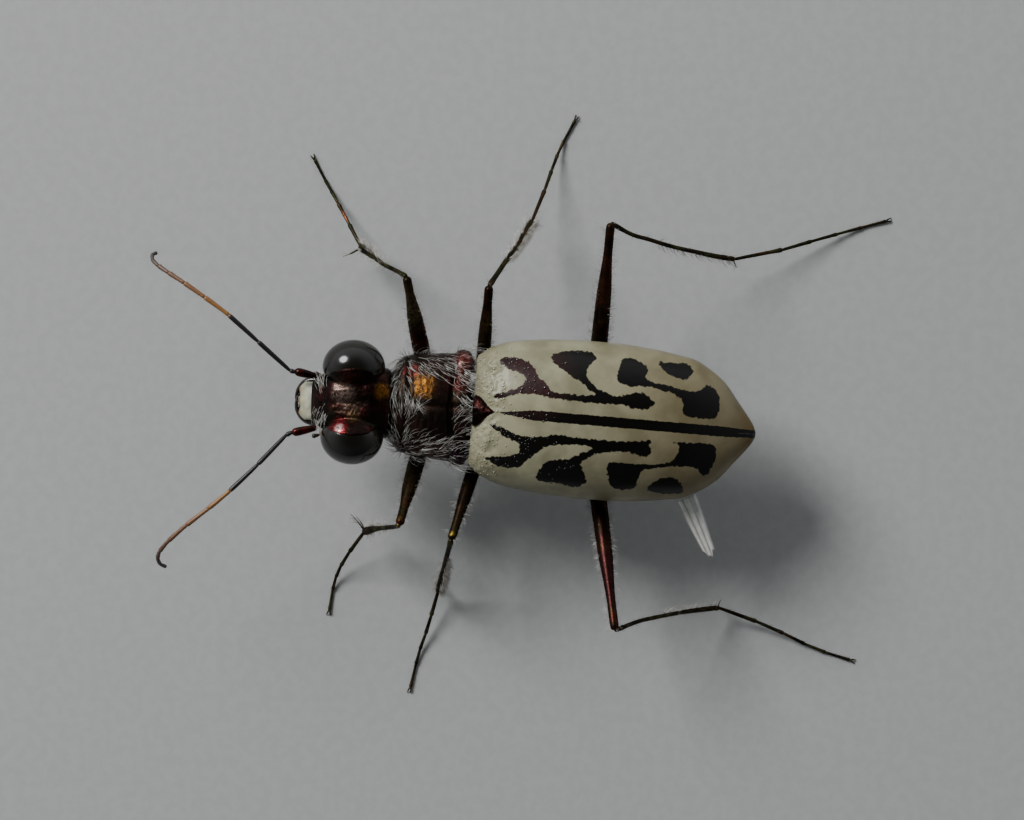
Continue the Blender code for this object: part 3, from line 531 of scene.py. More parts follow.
@dataclass(frozen=True)
class Finish:
    """A surface: the shader's fixed values. Each kind adds its own pattern."""

    label: str
    metallic: float = 0.0
    roughness: float = 0.4
    specular: float = 0.5
    edge: str = "#ffffff"
    coat: float = 0.0
    coat_roughness: float = 0.1

    def material(self) -> bpy.types.Material:
        """Make the material, or find it if it is made.

        Returns:
            The material, named after what it is.
        """
        found = bpy.data.materials.get(self.label)
        if found:
            return found
        made = bpy.data.materials.new(self.label)
        made.use_nodes = True
        tree = made.node_tree
        shader = tree.nodes["Principled BSDF"]
        fixed = {
            "Metallic": self.metallic, "Roughness": self.roughness, "Specular IOR Level": self.specular,
            "Specular Tint": self.edge, "Coat Weight": self.coat, "Coat Roughness": self.coat_roughness
        }
        if not self.metallic:
            fixed["IOR"] = CHITIN_IOR
        feed(tree, shader, fixed)
        feed(tree, shader, self.pattern(tree, (add_node(tree, "TexCoord"), "Object")))
        return made

    def pattern(self, tree: Any, place: Any) -> dict[str, Any]:
        """Add the nodes of this surface's own pattern, and say what inputs of the shader get."""
        raise NotImplementedError


@dataclass(frozen=True)
class Glow:
    """A patch of colour on a cuticle, for its own tints and for painted glints: its middle, radius and
    colour.
    """

    place: Point
    size: float
    colour: str

    def over(self, tree: Any, place: Any, cloud: Any, under: Any) -> Any:
        """Lay the patch over a colour.

        Args:
            tree: The material's tree.
            place: The object coordinates.
            cloud: The noise that makes the patch's edge ragged.
            under: The node that gives the colour below.

        Returns:
            The node that gives the mixed colour.
        """
        centre, size = tuple(value * MM for value in self.place), self.size * MM
        away = add_node(tree, "VectorMath", place, centre, operation="DISTANCE")
        ragged = add_node(tree, "Math", cloud, size, away, operation="MULTIPLY_ADD")
        near = add_node(
            tree, "MapRange", Value=ragged, From_Min=size * 1.5, From_Max=size * 0.7,
            interpolation_type="SMOOTHSTEP"
        )
        return add_node(tree, "Mix", Factor=near, A=under, B=self.colour, data_type="RGBA")


@dataclass(frozen=True)
class GlintingCuticle(Finish):
    """Chitin with thin layers that give a metal's colour: finely wrinkled, with painted shade in the
    hollows.

    The eye sees a dark ground with copper, red and green that change from place to place.
    """

    ground: str = "#1c120e"
    sheen: str = "#6b3a22"
    second: str = "#5a1a20"
    third: str = "#27331f"
    tints_and_painted_glints: tuple[Glow, ...] = ()
    wrinkle: float = 0.11
    wrinkle_depth: float = 0.018
    drift: float = 0.9

    def pattern(self, tree: Any, place: Any) -> dict[str, Any]:
        """Mix the colours by broad noise, paint shade into the wrinkles' hollows and cut the wrinkles in
        the bump.

        Args:
            tree: The material's tree.
            place: The object coordinates.

        Returns:
            What inputs of the shader get.
        """
        broad = add_node(tree, "TexNoise", Vector=place, Scale=per_size(self.drift), Detail=2.0)
        other = add_node(
            tree, "TexNoise", Vector=place, Scale=per_size(self.drift * 0.55), Detail=3.0, W=4.0,
            noise_dimensions="4D"
        )
        colours = add_node(
            tree, "ValToRGB", Fac=broad, stops=((0.34, self.third), (0.47, self.sheen), (0.60, self.second))
        )
        dark = add_node(tree, "MapRange", Value=other, From_Min=0.38, From_Max=0.62)
        mixed = add_node(tree, "Mix", Factor=dark, A=self.ground, B=colours, data_type="RGBA")
        # Lay the patches: the cuticle's own tints and the painted highlights, glints and reflections.
        for colour_patch in self.tints_and_painted_glints:
            mixed = colour_patch.over(tree, place, other, mixed)
        wrinkles = add_node(
            tree, "TexNoise", Vector=place, Scale=per_size(self.wrinkle), Detail=3.0, Roughness=0.6,
            Distortion=1.4
        )
        # Painted shade: the hollows of the wrinkles are darkened towards the ground colour.
        painted_hollow_shade = add_node(tree, "MapRange", Value=wrinkles, From_Min=0.36, From_Max=0.58)
        shaded = add_node(tree, "Mix", Factor=painted_hollow_shade, A=self.ground, B=mixed, data_type="RGBA")
        rough = add_node(
            tree, "MapRange", Value=wrinkles, From_Min=0.3, From_Max=0.7, To_Min=self.roughness + 0.12,
            To_Max=self.roughness - 0.06
        )
        bump = add_node(tree, "Bump", Strength=0.8, Distance=self.wrinkle_depth * MM, Height=wrinkles)
        return {"Base Color": shaded, "Roughness": rough, "Normal": bump}


@dataclass(frozen=True)
class Mottled(Finish):
    """A surface in two close tones that change softly from place to place."""

    pale: str = "#e2e0da"
    dusky: str = "#7c776c"
    patch: float = 0.25
    change: Pair = (0.38, 0.60)

    def pattern(self, tree: Any, place: Any) -> dict[str, Any]:
        """Change the tone by soft noise.

        Args:
            tree: The material's tree.
            place: The object coordinates.

        Returns:
            What inputs of the shader get.
        """
        spots = add_node(tree, "TexNoise", Vector=place, Scale=per_size(self.patch), Detail=2.0)
        stops = tuple(zip(self.change, (self.dusky, self.pale)))
        return {"Base Color": add_node(tree, "ValToRGB", Fac=spots, stops=stops)}


@dataclass(frozen=True)
class EyeCuticle(Mottled):
    """Clear chitin over a dark ground, in six-sided lenses: glossy brown-black, a little mottled."""

    lens: float = 0.06

    def pattern(self, tree: Any, place: Any) -> dict[str, Any]:
        """Add the lenses, about twice as coarse as real ones so that they show.

        Args:
            tree: The material's tree.
            place: The object coordinates.

        Returns:
            What inputs of the shader get.
        """
        cells = add_node(tree, "TexVoronoi", Vector=place, Scale=per_size(self.lens), Randomness=0.35)
        bump = add_node(
            tree, "Bump", Strength=0.10, Distance=0.006 * MM, Height=(cells, "Distance"), invert=True
        )
        return super().pattern(tree, place) | {"Normal": bump}


@dataclass(frozen=True)
class PatternedIvory(Finish):
    """Waxy ivory chitin with brown-black marks, where the skin's "mark" is above zero."""

    ivory: str = "#9d9a7f"
    shade: str = "#827f66"
    amber: str = "#664e24"
    mark: str = "#0b0907"
    mark_red: str = "#3f191a"
    cloud: float = 1.1
    edge_grain: float = 0.14
    pore: float = 0.16
    ragged: float = 0.09
    red_place: Point = (-1.06, 0.16, 6.3)
    red_size: float = 1.25

    def pattern(self, tree: Any, place: Any) -> dict[str, Any]:
        """Mix ivory, amber rim, painted shade and the ragged dark marks with their painted red sheen.

        Args:
            tree: The material's tree.
            place: The object coordinates.

        Returns:
            What inputs of the shader get.
        """
        clouds = add_node(tree, "TexNoise", Vector=place, Scale=per_size(self.cloud), Detail=4.0)
        ground = add_node(tree, "ValToRGB", Fac=clouds, stops=((0.36, self.shade), (0.62, self.ivory)))
        rim = add_node(tree, "Attribute", attribute_name="rim")
        edged_and_shaded = add_node(tree, "Mix", Factor=(rim, "Fac"), A=ground, B=self.amber, data_type="RGBA")
        mark = add_node(tree, "Attribute", attribute_name="mark")
        rough_edge = add_node(
            tree, "TexNoise", Vector=place, Scale=per_size(self.edge_grain), Detail=1.5, Roughness=0.5
        )
        shifted = add_node(
            tree, "Math", rough_edge, self.ragged * 2, (mark, "Fac"), operation="MULTIPLY_ADD"
        )
        dark = add_node(
            tree, "MapRange", Value=shifted, From_Min=self.ragged - 0.018, From_Max=self.ragged + 0.018,
            interpolation_type="SMOOTHSTEP"
        )
        # Painted sheen of the lamp: the dark marks turn red-brown round one spot near the root of the right
        # case.
        centre = tuple(value * MM for value in self.red_place)
        away = add_node(tree, "VectorMath", place, centre, operation="DISTANCE")
        near = add_node(
            tree, "MapRange", Value=away, From_Min=self.red_size * 1.5 * MM,
            From_Max=self.red_size * 0.6 * MM
        )
        sheen_speckle = add_node(tree, "Math", near, rough_edge, operation="MULTIPLY")
        blot = add_node(tree, "Mix", Factor=sheen_speckle, A=self.mark, B=self.mark_red, data_type="RGBA")
        colour = add_node(tree, "Mix", Factor=dark, A=edged_and_shaded, B=blot, data_type="RGBA")
        fine = add_node(
            tree, "TexVoronoi", Vector=place, Scale=per_size(self.pore), Randomness=1.0, feature="SMOOTH_F1"
        )
        bump = add_node(tree, "Bump", Strength=0.35, Distance=0.012 * MM, Height=(fine, "Distance"))
        return {"Base Color": colour, "Normal": bump}


@dataclass(frozen=True)
class BandedChitin(Finish):
    """Plain chitin whose colour goes through a few tones along the skin's "reach"."""

    tones: tuple[tuple[float, str], ...] = ((0.0, "#20120c"), (1.0, "#20120c"))
    fleck: float = 0.05
    depth: float = 0.008

    def pattern(self, tree: Any, place: Any) -> dict[str, Any]:
        """Read the tones along the part, with a little fine mottling.

        Args:
            tree: The material's tree.
            place: The object coordinates.

        Returns:
            What inputs of the shader get.
        """
        reach = add_node(tree, "Attribute", attribute_name="reach")
        tone = add_node(tree, "ValToRGB", Fac=(reach, "Fac"), stops=self.tones)
        flecks = add_node(tree, "TexNoise", Vector=place, Scale=per_size(self.fleck), Detail=3.0)
        light = add_node(
            tree, "MapRange", Value=flecks, From_Min=0.3, From_Max=0.7, To_Min=0.72, To_Max=1.2
        )
        colour = add_node(tree, "VectorMath", tone, Scale=light, operation="SCALE")
        bump = add_node(tree, "Bump", Strength=0.6, Distance=self.depth * MM, Height=flecks)
        return {"Base Color": colour, "Normal": bump}


@dataclass(frozen=True)
class WingFilm(Finish):
    """Clear pleated membrane with brown veins: pale, glossy, with a faint play of colours."""

    film: str = "#f6f2ee"
    vein: str = "#b8aea6"
    cloud: float = 0.22
    clearness: float = 0.76
    layer_nanometres: float = 420.0

    def pattern(self, tree: Any, place: Any) -> dict[str, Any]:
        """Draw the veins by the skin's "vein" mark, and let the film between them show through.

        Args:
            tree: The material's tree.
            place: The object coordinates.

        Returns:
            What inputs of the shader get.
        """
        vein = add_node(tree, "Attribute", attribute_name="vein")
        colour = add_node(tree, "Mix", Factor=(vein, "Fac"), A=self.film, B=self.vein, data_type="RGBA")
        clouds = add_node(tree, "TexNoise", Vector=place, Scale=per_size(self.cloud), Detail=2.0)
        solid = add_node(
            tree, "MapRange", Value=clouds, From_Min=0.3, From_Max=0.7, To_Min=self.clearness,
            To_Max=self.clearness + 0.25
        )
        both = add_node(tree, "Math", (vein, "Fac"), 0.16, solid, operation="MULTIPLY_ADD", use_clamp=True)
        return {"Base Color": colour, "Alpha": both, "Thin Film Thickness": self.layer_nanometres}


# A dark ground that glints copper, with a painted crimson highlight beside the left eye and an orange patch
# near the nape.
COPPER_HEAD = GlintingCuticle(
    "wrinkled copper chitin of the head", metallic=0.9, roughness=0.28, ground="#140d0b", sheen="#3d2419",
    second="#451a1d", third="#242818",
    tints_and_painted_glints=(
        Glow((0.12, -6.45, 5.80), 0.42, "#4a382e"), Glow((0.46, -6.32, 5.85), 0.40, "#6a5238"),
        # Painted reflection of the sky: the pinkish grey patch at (-0.46, -6.67) on the crown.
        Glow((-0.46, -6.67, 5.85), 0.62, "#a08478"), Glow((-0.95, -6.36, 6.10), 0.56, "#4e2822"),
        Glow((-0.80, -7.02, 5.90), 0.26, "#4e1a1e"), Glow((0.90, -6.10, 6.10), 0.50, "#2a1a16"),
        # Painted highlight of the lamp: the crimson patch beside the left eye and its pale core.
        Glow((0.78, -6.88, 5.95), 0.52, "#b02c36"), Glow((0.88, -6.84, 5.98), 0.26, "#ffd2ce"),
        Glow((-0.44, -5.24, 5.80), 0.42, "#8a5a20"), Glow((0.62, -5.50, 5.80), 0.55, "#1c2614")
    ),
    wrinkle_depth=0.011
)
# The same but duller: brown copper, red at the front, with a painted orange reflection near the middle.
COPPER_NECK = GlintingCuticle(
    "wrinkled copper chitin of the prothorax", metallic=0.9, roughness=0.38, ground="#211b16",
    sheen="#33241a", second="#3e1f1e", third="#232318",
    tints_and_painted_glints=(
        Glow((-1.20, -4.20, 5.30), 0.42, "#6e2a26"), Glow((-0.82, -2.50, 5.60), 0.62, "#5a1e1c"),
        # Painted glints of the lamp: the pale flecks at (-1.78, -2.12) and (-1.50, -2.42) on the right hind
        # corner.
        Glow((-1.70, -2.22, 5.00), 0.66, "#7a3530"), Glow((-1.78, -2.12, 5.00), 0.20, "#e0aaa2"),
        Glow((-1.50, -2.42, 5.20), 0.12, "#d09a92"), Glow((1.83, -2.52, 4.90), 0.75, "#3e1f34"),
        Glow((0.94, -4.17, 5.60), 0.50, "#402820"), Glow((1.62, -3.40, 5.10), 0.75, "#5c423c"),
        # Painted reflection of the lamp: the orange patch at (-0.66, -3.74), on the lit right side only.
        Glow((-1.50, -3.40, 5.20), 0.50, "#3c1c1a"), Glow((-0.66, -3.74, 5.72), 0.62, "#8e5c20")
    ),
    wrinkle=0.14, wrinkle_depth=0.03
)
# A dark red that glints violet.
RED_PLATE = GlintingCuticle(
    "red violet chitin of the scutellum", metallic=0.95, roughness=0.36, ground="#0e0606", sheen="#2e1311",
    second="#4e2622", third="#1c0c12"
)
# Smooth and bright, a clear copper red.
SCAPE_RED = GlintingCuticle(
    "polished copper chitin of the scape", metallic=0.85, roughness=0.22, sheen="#63241c", second="#7a2a24",
    third="#3c1618", wrinkle_depth=0.006
)
# Brown bronze with red and green glints, mostly in shade.
BRONZE_BODY = GlintingCuticle(
    "bronze chitin of the underside", metallic=0.7, roughness=0.36, sheen="#4d3a20", second="#5a2a1e",
    third="#1f3428"
)
# A brown that is nearly black, with a clear reflection of the lamp.
EYE_LENSES = EyeCuticle(
    "lens chitin of the eyes", roughness=0.16, specular=0.38, coat=0.15, coat_roughness=0.12,
    pale="#1c1a13", dusky="#100e0a", patch=1.3, change=(0.35, 0.70)
)
# Ivory with a soft gloss, brown-black marks, an amber rim and painted shade towards the rear.
WING_CASE = PatternedIvory("waxy ivory chitin of the wing cases", roughness=0.30, specular=0.2)
# The same chitin, glossier: the grains near the roots catch the light.
WING_GRAIN = replace(WING_CASE, label="wet ivory chitin of the grains", roughness=0.16, specular=0.6)
# A pale dull ivory with a brown edge.
LIP_IVORY = BandedChitin(
    "ivory chitin of the lip", roughness=0.42,
    tones=((0.0, "#8f9179"), (0.45, "#b3b59e"), (0.86, "#b0af92"), (1.0, "#7a5a30")), fleck=0.25
)
# Pale horn at the root, then glossy brown-black.
JAW_CHITIN = BandedChitin(
    "polished chitin of the jaws", roughness=0.24, coat=0.2,
    tones=((0.0, "#8a7a54"), (0.18, "#6a4e2c"), (0.30, "#241610"), (1.0, "#0d0908"))
)
# Pale amber with dark last joints.
PALP_CHITIN = BandedChitin(
    "amber chitin of the palps", roughness=0.38,
    tones=((0.0, "#cbb98c"), (0.60, "#b78f50"), (0.74, "#3a2214"), (1.0, "#1d120e"))
)
# Black near the head, then orange-brown that turns grey towards the tip.
FEELER_CHITIN = BandedChitin(
    "chitin of the feelers", roughness=0.42,
    tones=(
        (0.0, "#120d0d"), (0.355, "#140e0e"), (0.368, "#94672f"), (0.50, "#805633"), (0.70, "#5c4132"),
        (0.84, "#484039"), (1.0, "#3c3a37")
    )
)
# Brown and purple copper, dull along its edges, with painted gold glints on two knees.
THIGH_CHITIN = GlintingCuticle(
    "purple copper chitin of the thighs", metallic=0.8, edge="#8c8262", roughness=0.30, ground="#1c1611",
    sheen="#46301e", second="#522818", third="#3a3420",
    tints_and_painted_glints=(
        Glow((-3.60, -4.45, 4.20), 1.20, "#4c4430"), Glow((3.00, -4.35, 3.90), 1.20, "#463e28"),
        Glow((-2.60, -1.40, 4.20), 1.40, "#4a3c28"), Glow((6.40, 3.00, 4.60), 2.60, "#3a1a1c"),
        # Painted glints of the lamp: the small gold spots on the front left and middle left knees.
        Glow((4.22, -4.62, 5.25), 0.14, "#b49c3c"), Glow((4.76, -2.71, 5.02), 0.15, "#b49c3c")
    ),
    wrinkle_depth=0.008
)
# A dull green bronze with a few copper and grey patches, and a painted gold glint on the front left knee.
SHIN_CHITIN = GlintingCuticle(
    "green bronze chitin of the shins", metallic=0.75, edge="#9c9474", roughness=0.32, ground="#1c1a12",
    sheen="#524e30", second="#4c3824", third="#3f4a2a",
    tints_and_painted_glints=(
        # Painted glint of the lamp: the small gold spot at the front left knee.
        Glow((4.44, -4.64, 5.30), 0.16, "#8a7420"), Glow((-7.02, -6.76, 0.60), 0.36, "#8e5238"),
        Glow((-5.44, -6.50, 1.10), 0.24, "#8a8478"), Glow((4.36, -6.34, 1.50), 0.26, "#8a8478")
    ),
    wrinkle_depth=0.008, wrinkle=0.07
)
# A clear film with a few pale brown veins.
WING_MEMBRANE = WingFilm("pleated wing membrane", roughness=0.18)
# White that greys a little from hair to hair.
WHITE_HAIR = Mottled("white chitin of the hairs", roughness=0.35)
# Greyer, so that the brushes look soft against the pale floor.
DUSKY_HAIR = Mottled("dusky chitin of the shin brushes", roughness=0.35, pale="#d2cec6", dusky="#8c867c")
# Dark brown specks along the shins, feet and feelers.
DARK_BRISTLE = Mottled("dark chitin of the bristles", roughness=0.35, pale="#4a4136", dusky="#241d18")
# An even light grey with almost no grain.
PALE_CARD = Mottled(
    "matt pale card", roughness=0.9, pale="#b3b4b3", dusky="#afb0af", patch=0.4, change=(0.40, 0.60)
)


class Planting:
    """A node tree that plants many small forms on a skin, and the mesh it makes."""

    INPUTS: dict[str, str] = {}
    NAME = "planting"

    def tree(self) -> Any:
        """Make the node tree with its named inputs, or find it if it is made.

        Returns:
            The node tree.
        """
        found = bpy.data.node_groups.get(self.NAME)
        if found:
            return found
        made = bpy.data.node_groups.new(self.NAME, "GeometryNodeTree")
        for name, kind in {"Geometry": "Geometry", **self.INPUTS}.items():
            made.interface.new_socket(name=name, in_out="INPUT", socket_type=f"NodeSocket{kind}")
        made.interface.new_socket(name="Geometry", in_out="OUTPUT", socket_type="NodeSocketGeometry")
        given = add_node(made, "NodeGroupInput")
        add_node(made, "NodeGroupOutput", Geometry=self.grow(made, given))
        return made

    def grow(self, tree: Any, given: Any) -> Any:
        """Add the nodes between the tree's input and its output, and return the last one."""
        raise NotImplementedError

    def planted(self, skin: Skin, keep: Sequence[str], **values: Any) -> bpy.types.Mesh:
        """Run the tree on a skin.

        Args:
            skin: The skin that the forms grow on, in the model's own frame.
            keep: The attributes that the mesh keeps.
            values: The tree's inputs by name, with underscores for spaces.

        Returns:
            The mesh of the forms, in metres.
        """
        carrier = bpy.data.objects.new("carrier", skin.mesh("carrier"))
        bpy.context.scene.collection.objects.link(carrier)
        tree = self.tree()
        growth = carrier.modifiers.new("planting", "NODES")
        growth.node_group = tree
        for item in tree.interface.items_tree:
            key = item.name.replace(" ", "_").lower()
            if item.in_out == "INPUT" and key in values:
                growth[item.identifier] = values[key]
        graph = bpy.context.evaluated_depsgraph_get()
        mesh = bpy.data.meshes.new_from_object(carrier.evaluated_get(graph))
        bpy.data.objects.remove(carrier, do_unlink=True)
        for name in [found.name for found in mesh.attributes if not found.is_internal]:
            if name not in (*keep, "position"):
                spare = mesh.attributes.get(name)
                if spare and not spare.is_required:
                    mesh.attributes.remove(spare)
        for corner in mesh.vertices:
            corner.co *= MM
        return mesh


class HairPlanting(Planting):
    """Curved tapering hairs, rooted in a skin and lying along its "lie".

    A skin's "hook" says which way the tips bend over: -1, 0 or 1.
    """

    NAME = "hair coat"
    INPUTS = {
        "Density": "Float", "Length": "Float", "Thickness": "Float", "Lift": "Float", "Spread": "Float",
        "Seed": "Int", "Material": "Material"
    }
    BENDS = (-0.58, 0.04, 0.58)
    STEPS = 6

    def strand(self, tree: Any, given: Any, bend: float) -> Any:
        """One hair of unit length that rises, bends over along X and thins to its tip.

        Args:
            tree: The node tree.
            given: Its input node.
            bend: How far the tip lies to the side.

        Returns:
            The node that gives the hair's mesh.
        """
        line = add_node(
            tree, "CurvePrimitiveBezierSegment", Resolution=self.STEPS, Start=(0.0, 0.0, -0.05),
            Start_Handle=(0.30, 0.0, 0.14), End_Handle=(0.74, bend * 0.30, 0.22),
            End=(1.0 - abs(bend) * 0.2, bend, 0.12), mode="POSITION"
        )
        round_form = add_node(tree, "CurvePrimitiveCircle", Resolution=3, Radius=1.0)
        slender = add_node(tree, "Math", (given, "Thickness"), (given, "Length"), operation="DIVIDE")
        taper = add_node(
            tree, "Math", (add_node(tree, "SplineParameter"), "Factor"), -0.85, 1.0,
            operation="MULTIPLY_ADD"
        )
        size = add_node(tree, "Math", slender, taper, operation="MULTIPLY")
        tube = add_node(
            tree, "CurveToMesh", Curve=line, Profile_Curve=round_form, Scale=size, Fill_Caps=True
        )
        here = add_node(tree, "InputPosition")
        flat_x = add_node(tree, "VectorMath", here, (1.0, 0.0, 0.0), operation="DOT_PRODUCT")
        flat_y = add_node(tree, "VectorMath", here, (0.0, 8.0, 3.0), operation="DOT_PRODUCT")
        patch = add_node(tree, "CombineXYZ", X=(flat_x, "Value"), Y=(flat_y, "Value"))
        return add_node(
            tree, "StoreNamedAttribute", Geometry=tube, Name="patch", Value=patch, data_type="FLOAT_VECTOR",
            domain="POINT"
        )

    def grow(self, tree: Any, given: Any) -> Any:
        """Plant the hairs, turn them along the skin, and map each as a small patch at its root.

        Args:
            tree: The node tree.
            given: Its input node.

        Returns:
            The node that gives the finished geometry.
        """
        mark = {}
        for name in ("grow", "lie", "hook", "long", "Unwrap", "patch"):
            kind = "FLOAT" if name in ("grow", "hook", "long") else "FLOAT_VECTOR"
            mark[name] = add_node(tree, "InputNamedAttribute", Name=name, data_type=kind)
        density = add_node(tree, "Math", mark["grow"], (given, "Density"), operation="MULTIPLY")
        roots = add_node(
            tree, "DistributePointsOnFaces", Mesh=(given, "Geometry"), Density=density,
            Seed=(given, "Seed"), distribute_method="RANDOM"
        )
        upright = add_node(tree, "AlignRotationToVector", Vector=(roots, "Normal"), axis="Z")
        turned = add_node(
            tree, "AlignRotationToVector", Rotation=upright, Vector=mark["lie"], axis="X", pivot_axis="Z"
        )
        turns = (("Spread", (0.0, 0.0, 1.0), -1.0, 1.0), ("Lift", (0.0, -1.0, 0.0), 0.6, 1.3))
        for source, axis, low, high in turns:
            chance = add_node(
                tree, "RandomValue", Min=low, Max=high, Seed=(given, "Seed"), data_type="FLOAT"
            )
            angle = add_node(tree, "Math", (chance, "Value"), (given, source), operation="MULTIPLY")
            turn = add_node(tree, "AxisAngleToRotation", Axis=axis, Angle=angle)
            turned = add_node(
                tree, "RotateRotation", Rotation=turned, Rotate_By=turn, rotation_space="LOCAL"
            )
        forms = add_node(tree, "JoinGeometry")
        for bend in self.BENDS:
            form = add_node(tree, "GeometryToInstance", Geometry=self.strand(tree, given, bend))
            feed(tree, forms, {"Geometry": form})
        which = add_node(tree, "Math", mark["hook"], 1.0, operation="ADD")
        chance = add_node(tree, "RandomValue", Min=0.65, Max=1.2, Seed=7, data_type="FLOAT")
        own = add_node(tree, "Math", mark["long"], (chance, "Value"), operation="MULTIPLY")
        size = add_node(tree, "Math", own, (given, "Length"), operation="MULTIPLY")
        hairs = add_node(
            tree, "InstanceOnPoints", Points=(roots, "Points"), Instance=forms, Pick_Instance=True,
            Instance_Index=which, Rotation=turned, Scale=size
        )
        real = add_node(tree, "RealizeInstances", Geometry=hairs)
        small = add_node(tree, "VectorMath", mark["patch"], Scale=PATCH, operation="SCALE")
        spot = add_node(tree, "VectorMath", mark["Unwrap"], small, operation="ADD")
        mapped = add_node(
            tree, "StoreNamedAttribute", Geometry=real, Name=COAT_MAP, Value=spot, data_type="FLOAT2",
            domain="CORNER"
        )
        return add_node(tree, "SetMaterial", Geometry=mapped, Material=(given, "Material"))


class GrainPlanting(Planting):
    """Low rounded grains on a skin, which keep the skin's marks."""

    NAME = "grains"
    INPUTS = {
        "Density": "Float", "Width": "Float", "Height": "Float", "Seed": "Int", "Material": "Material"
    }

    def grow(self, tree: Any, given: Any) -> Any:
        """Plant squashed balls, sunk by half, at spots that keep clear of each other.

        Args:
            tree: The node tree.
            given: Its input node.

        Returns:
            The node that gives the finished geometry.
        """
        growth = add_node(tree, "InputNamedAttribute", Name="grow", data_type="FLOAT")
        roots = add_node(
            tree, "DistributePointsOnFaces", Mesh=(given, "Geometry"), Distance_Min=(given, "Width"),
            Density_Max=(given, "Density"), Density_Factor=growth, Seed=(given, "Seed"),
            distribute_method="POISSON"
        )
        chance = add_node(tree, "RandomValue", Min=0.55, Max=1.1, Seed=5, data_type="FLOAT")
        wide = add_node(tree, "Math", (chance, "Value"), (given, "Width"), operation="MULTIPLY")
        size = add_node(tree, "CombineXYZ", X=wide, Y=wide, Z=(given, "Height"))
        ball = add_node(tree, "MeshIcoSphere", Radius=0.5, Subdivisions=2)
        grains = add_node(
            tree, "InstanceOnPoints", Points=(roots, "Points"), Instance=(ball, "Mesh"),
            Rotation=(roots, "Rotation"), Scale=size
        )
        real = add_node(tree, "RealizeInstances", Geometry=grains)
        return add_node(tree, "SetMaterial", Geometry=real, Material=(given, "Material"))


@dataclass(frozen=True)
class HairCoat:
    """A coat of hairs: how many to the square millimetre, their size and how they stand."""

    name: str
    finish: Finish
    slot: Slot
    density: float
    length: float
    thickness: float
    lift: float
    spread: float
    seed: int

    def plant(self, skin: Skin) -> bpy.types.Object:
        """Grow the coat on a skin that holds the marks "grow", "lie", "long" and "hook".

        Args:
            skin: The skin, in the model's own frame.

        Returns:
            The coat as one piece.
        """
        mesh = HairPlanting().planted(
            skin, (COAT_MAP,), density=self.density, length=self.length, thickness=self.thickness,
            lift=math.radians(self.lift), spread=math.radians(self.spread), seed=self.seed,
            material=self.finish.material()
        )
        return dress(mesh, self.name, self.finish, self.slot)


@dataclass(frozen=True)
class Limb:
    """A round limb through a few points, with its radius at shares of its length."""

    points: Sequence[Any]
    radii: Sequence[Any]
    rows: int = 28
    columns: int = 18
    squash: float = 1.0
    reach: Pair = (0.0, 1.0)
    tip: float = 0.004

    def skin(self, window: Window = FULL_WINDOW) -> Skin:
        """Build the limb with rounded ends.

        Args:
            window: The part of the unwrap's square that it takes.

        Returns:
            The skin, with "reach" and "turn" marks and the direction "lie" towards its tip.
        """
        shares = spacing(self.rows)
        centre, length = places_along(smooth_line(self.points, 12), shares)
        radius = Profile(self.radii).read(1, shares)
        depth = np.minimum(shares, 1 - shares) * length / radius
        radius = radius * np.sqrt(np.clip(1 - (1 - np.clip(depth, 0, 1)) ** 2, self.tip, 1))
        ahead = np.gradient(centre, axis=0)
        ahead /= np.linalg.norm(ahead, axis=1)[:, None]
        up = np.array([0.0, 0.0, 1.0]) if abs(ahead[0][2]) < 0.95 else np.array([0.0, 1.0, 0.0])
        sides, ups = [], []
        for direction in ahead:
            up = up - direction * up.dot(direction)
            up /= np.linalg.norm(up)
            ups.append(up)
            sides.append(np.cross(direction, up))
        angle = 2 * math.pi * np.arange(self.columns) / self.columns
        offset = (
            np.array(sides)[:, None] * np.cos(angle)[None, :, None] * self.squash
            + np.array(ups)[:, None] * np.sin(angle)[None, :, None]
        )
        grid = centre[:, None] + radius[:, None, None] * offset
        span = np.ones(self.columns)
        low, high = self.reach
        return Skin.around(
            grid, window, reach=(low + (high - low) * shares)[:, None] * span,
            turn=np.ones(self.rows)[:, None] * angle, lie=ahead[:, None] * span[None, :, None]
        )


def barrel(
    profile: Profile, rows: int, columns: int, side_height: float, domes: Pair, fullness: float = 2.2
) -> Array:
    """Grid of a body part that is round in section.

    Args:
        profile: Half width, top and bottom at stations along Y.
        rows: How many rings.
        columns: How many points in a ring.
        side_height: The height of the widest place.
        domes: How far the rounded front and back stand out beyond the stations.
        fullness: 2 for an ellipse, more for a squarer section.

    Returns:
        Rings by points by three coordinates, in the part's own frame.
    """
    (first, last), (front, back) = profile.ends, domes
    along = first - front + (last - first + front + back) * spacing(rows)
    past = np.maximum((first - along) / front, (along - last) / back)
    shrink = np.sqrt(np.clip(1 - np.clip(past, 0, 1) ** 2, 0.0004, 1))[:, None]
    width, top, bottom = (profile.read(c, along)[:, None] for c in (1, 2, 3))
    angle = 2 * math.pi * (np.arange(columns) + 0.5) / columns
    cosine, sine = np.cos(angle)[None], np.sin(angle)[None]
    height = np.where(sine > 0, top - side_height, side_height - bottom)
    x = width * shrink * signed_power(cosine, 2 / fullness)
    z = side_height + shrink * height * signed_power(sine, 2 / fullness)
    return stacked(x, along[:, None], z)


def raised(grid: Array, height: Array) -> Array:
    """Move the points of closed rings outward.

    Args:
        grid: Rings by points by three coordinates.
        height: How far each point moves.

    Returns:
        The moved grid.
    """
    along = np.gradient(grid, axis=0)
    across = np.roll(grid, -1, axis=1) - np.roll(grid, 1, axis=1)
    normal = np.cross(along, across)
    normal /= np.maximum(np.linalg.norm(normal, axis=2), 1e-9)[..., None]
    outward = grid - grid.mean(axis=1, keepdims=True)
    normal *= np.where((normal * outward).sum() < 0, -1.0, 1.0)
    return grid + normal * height[..., None]


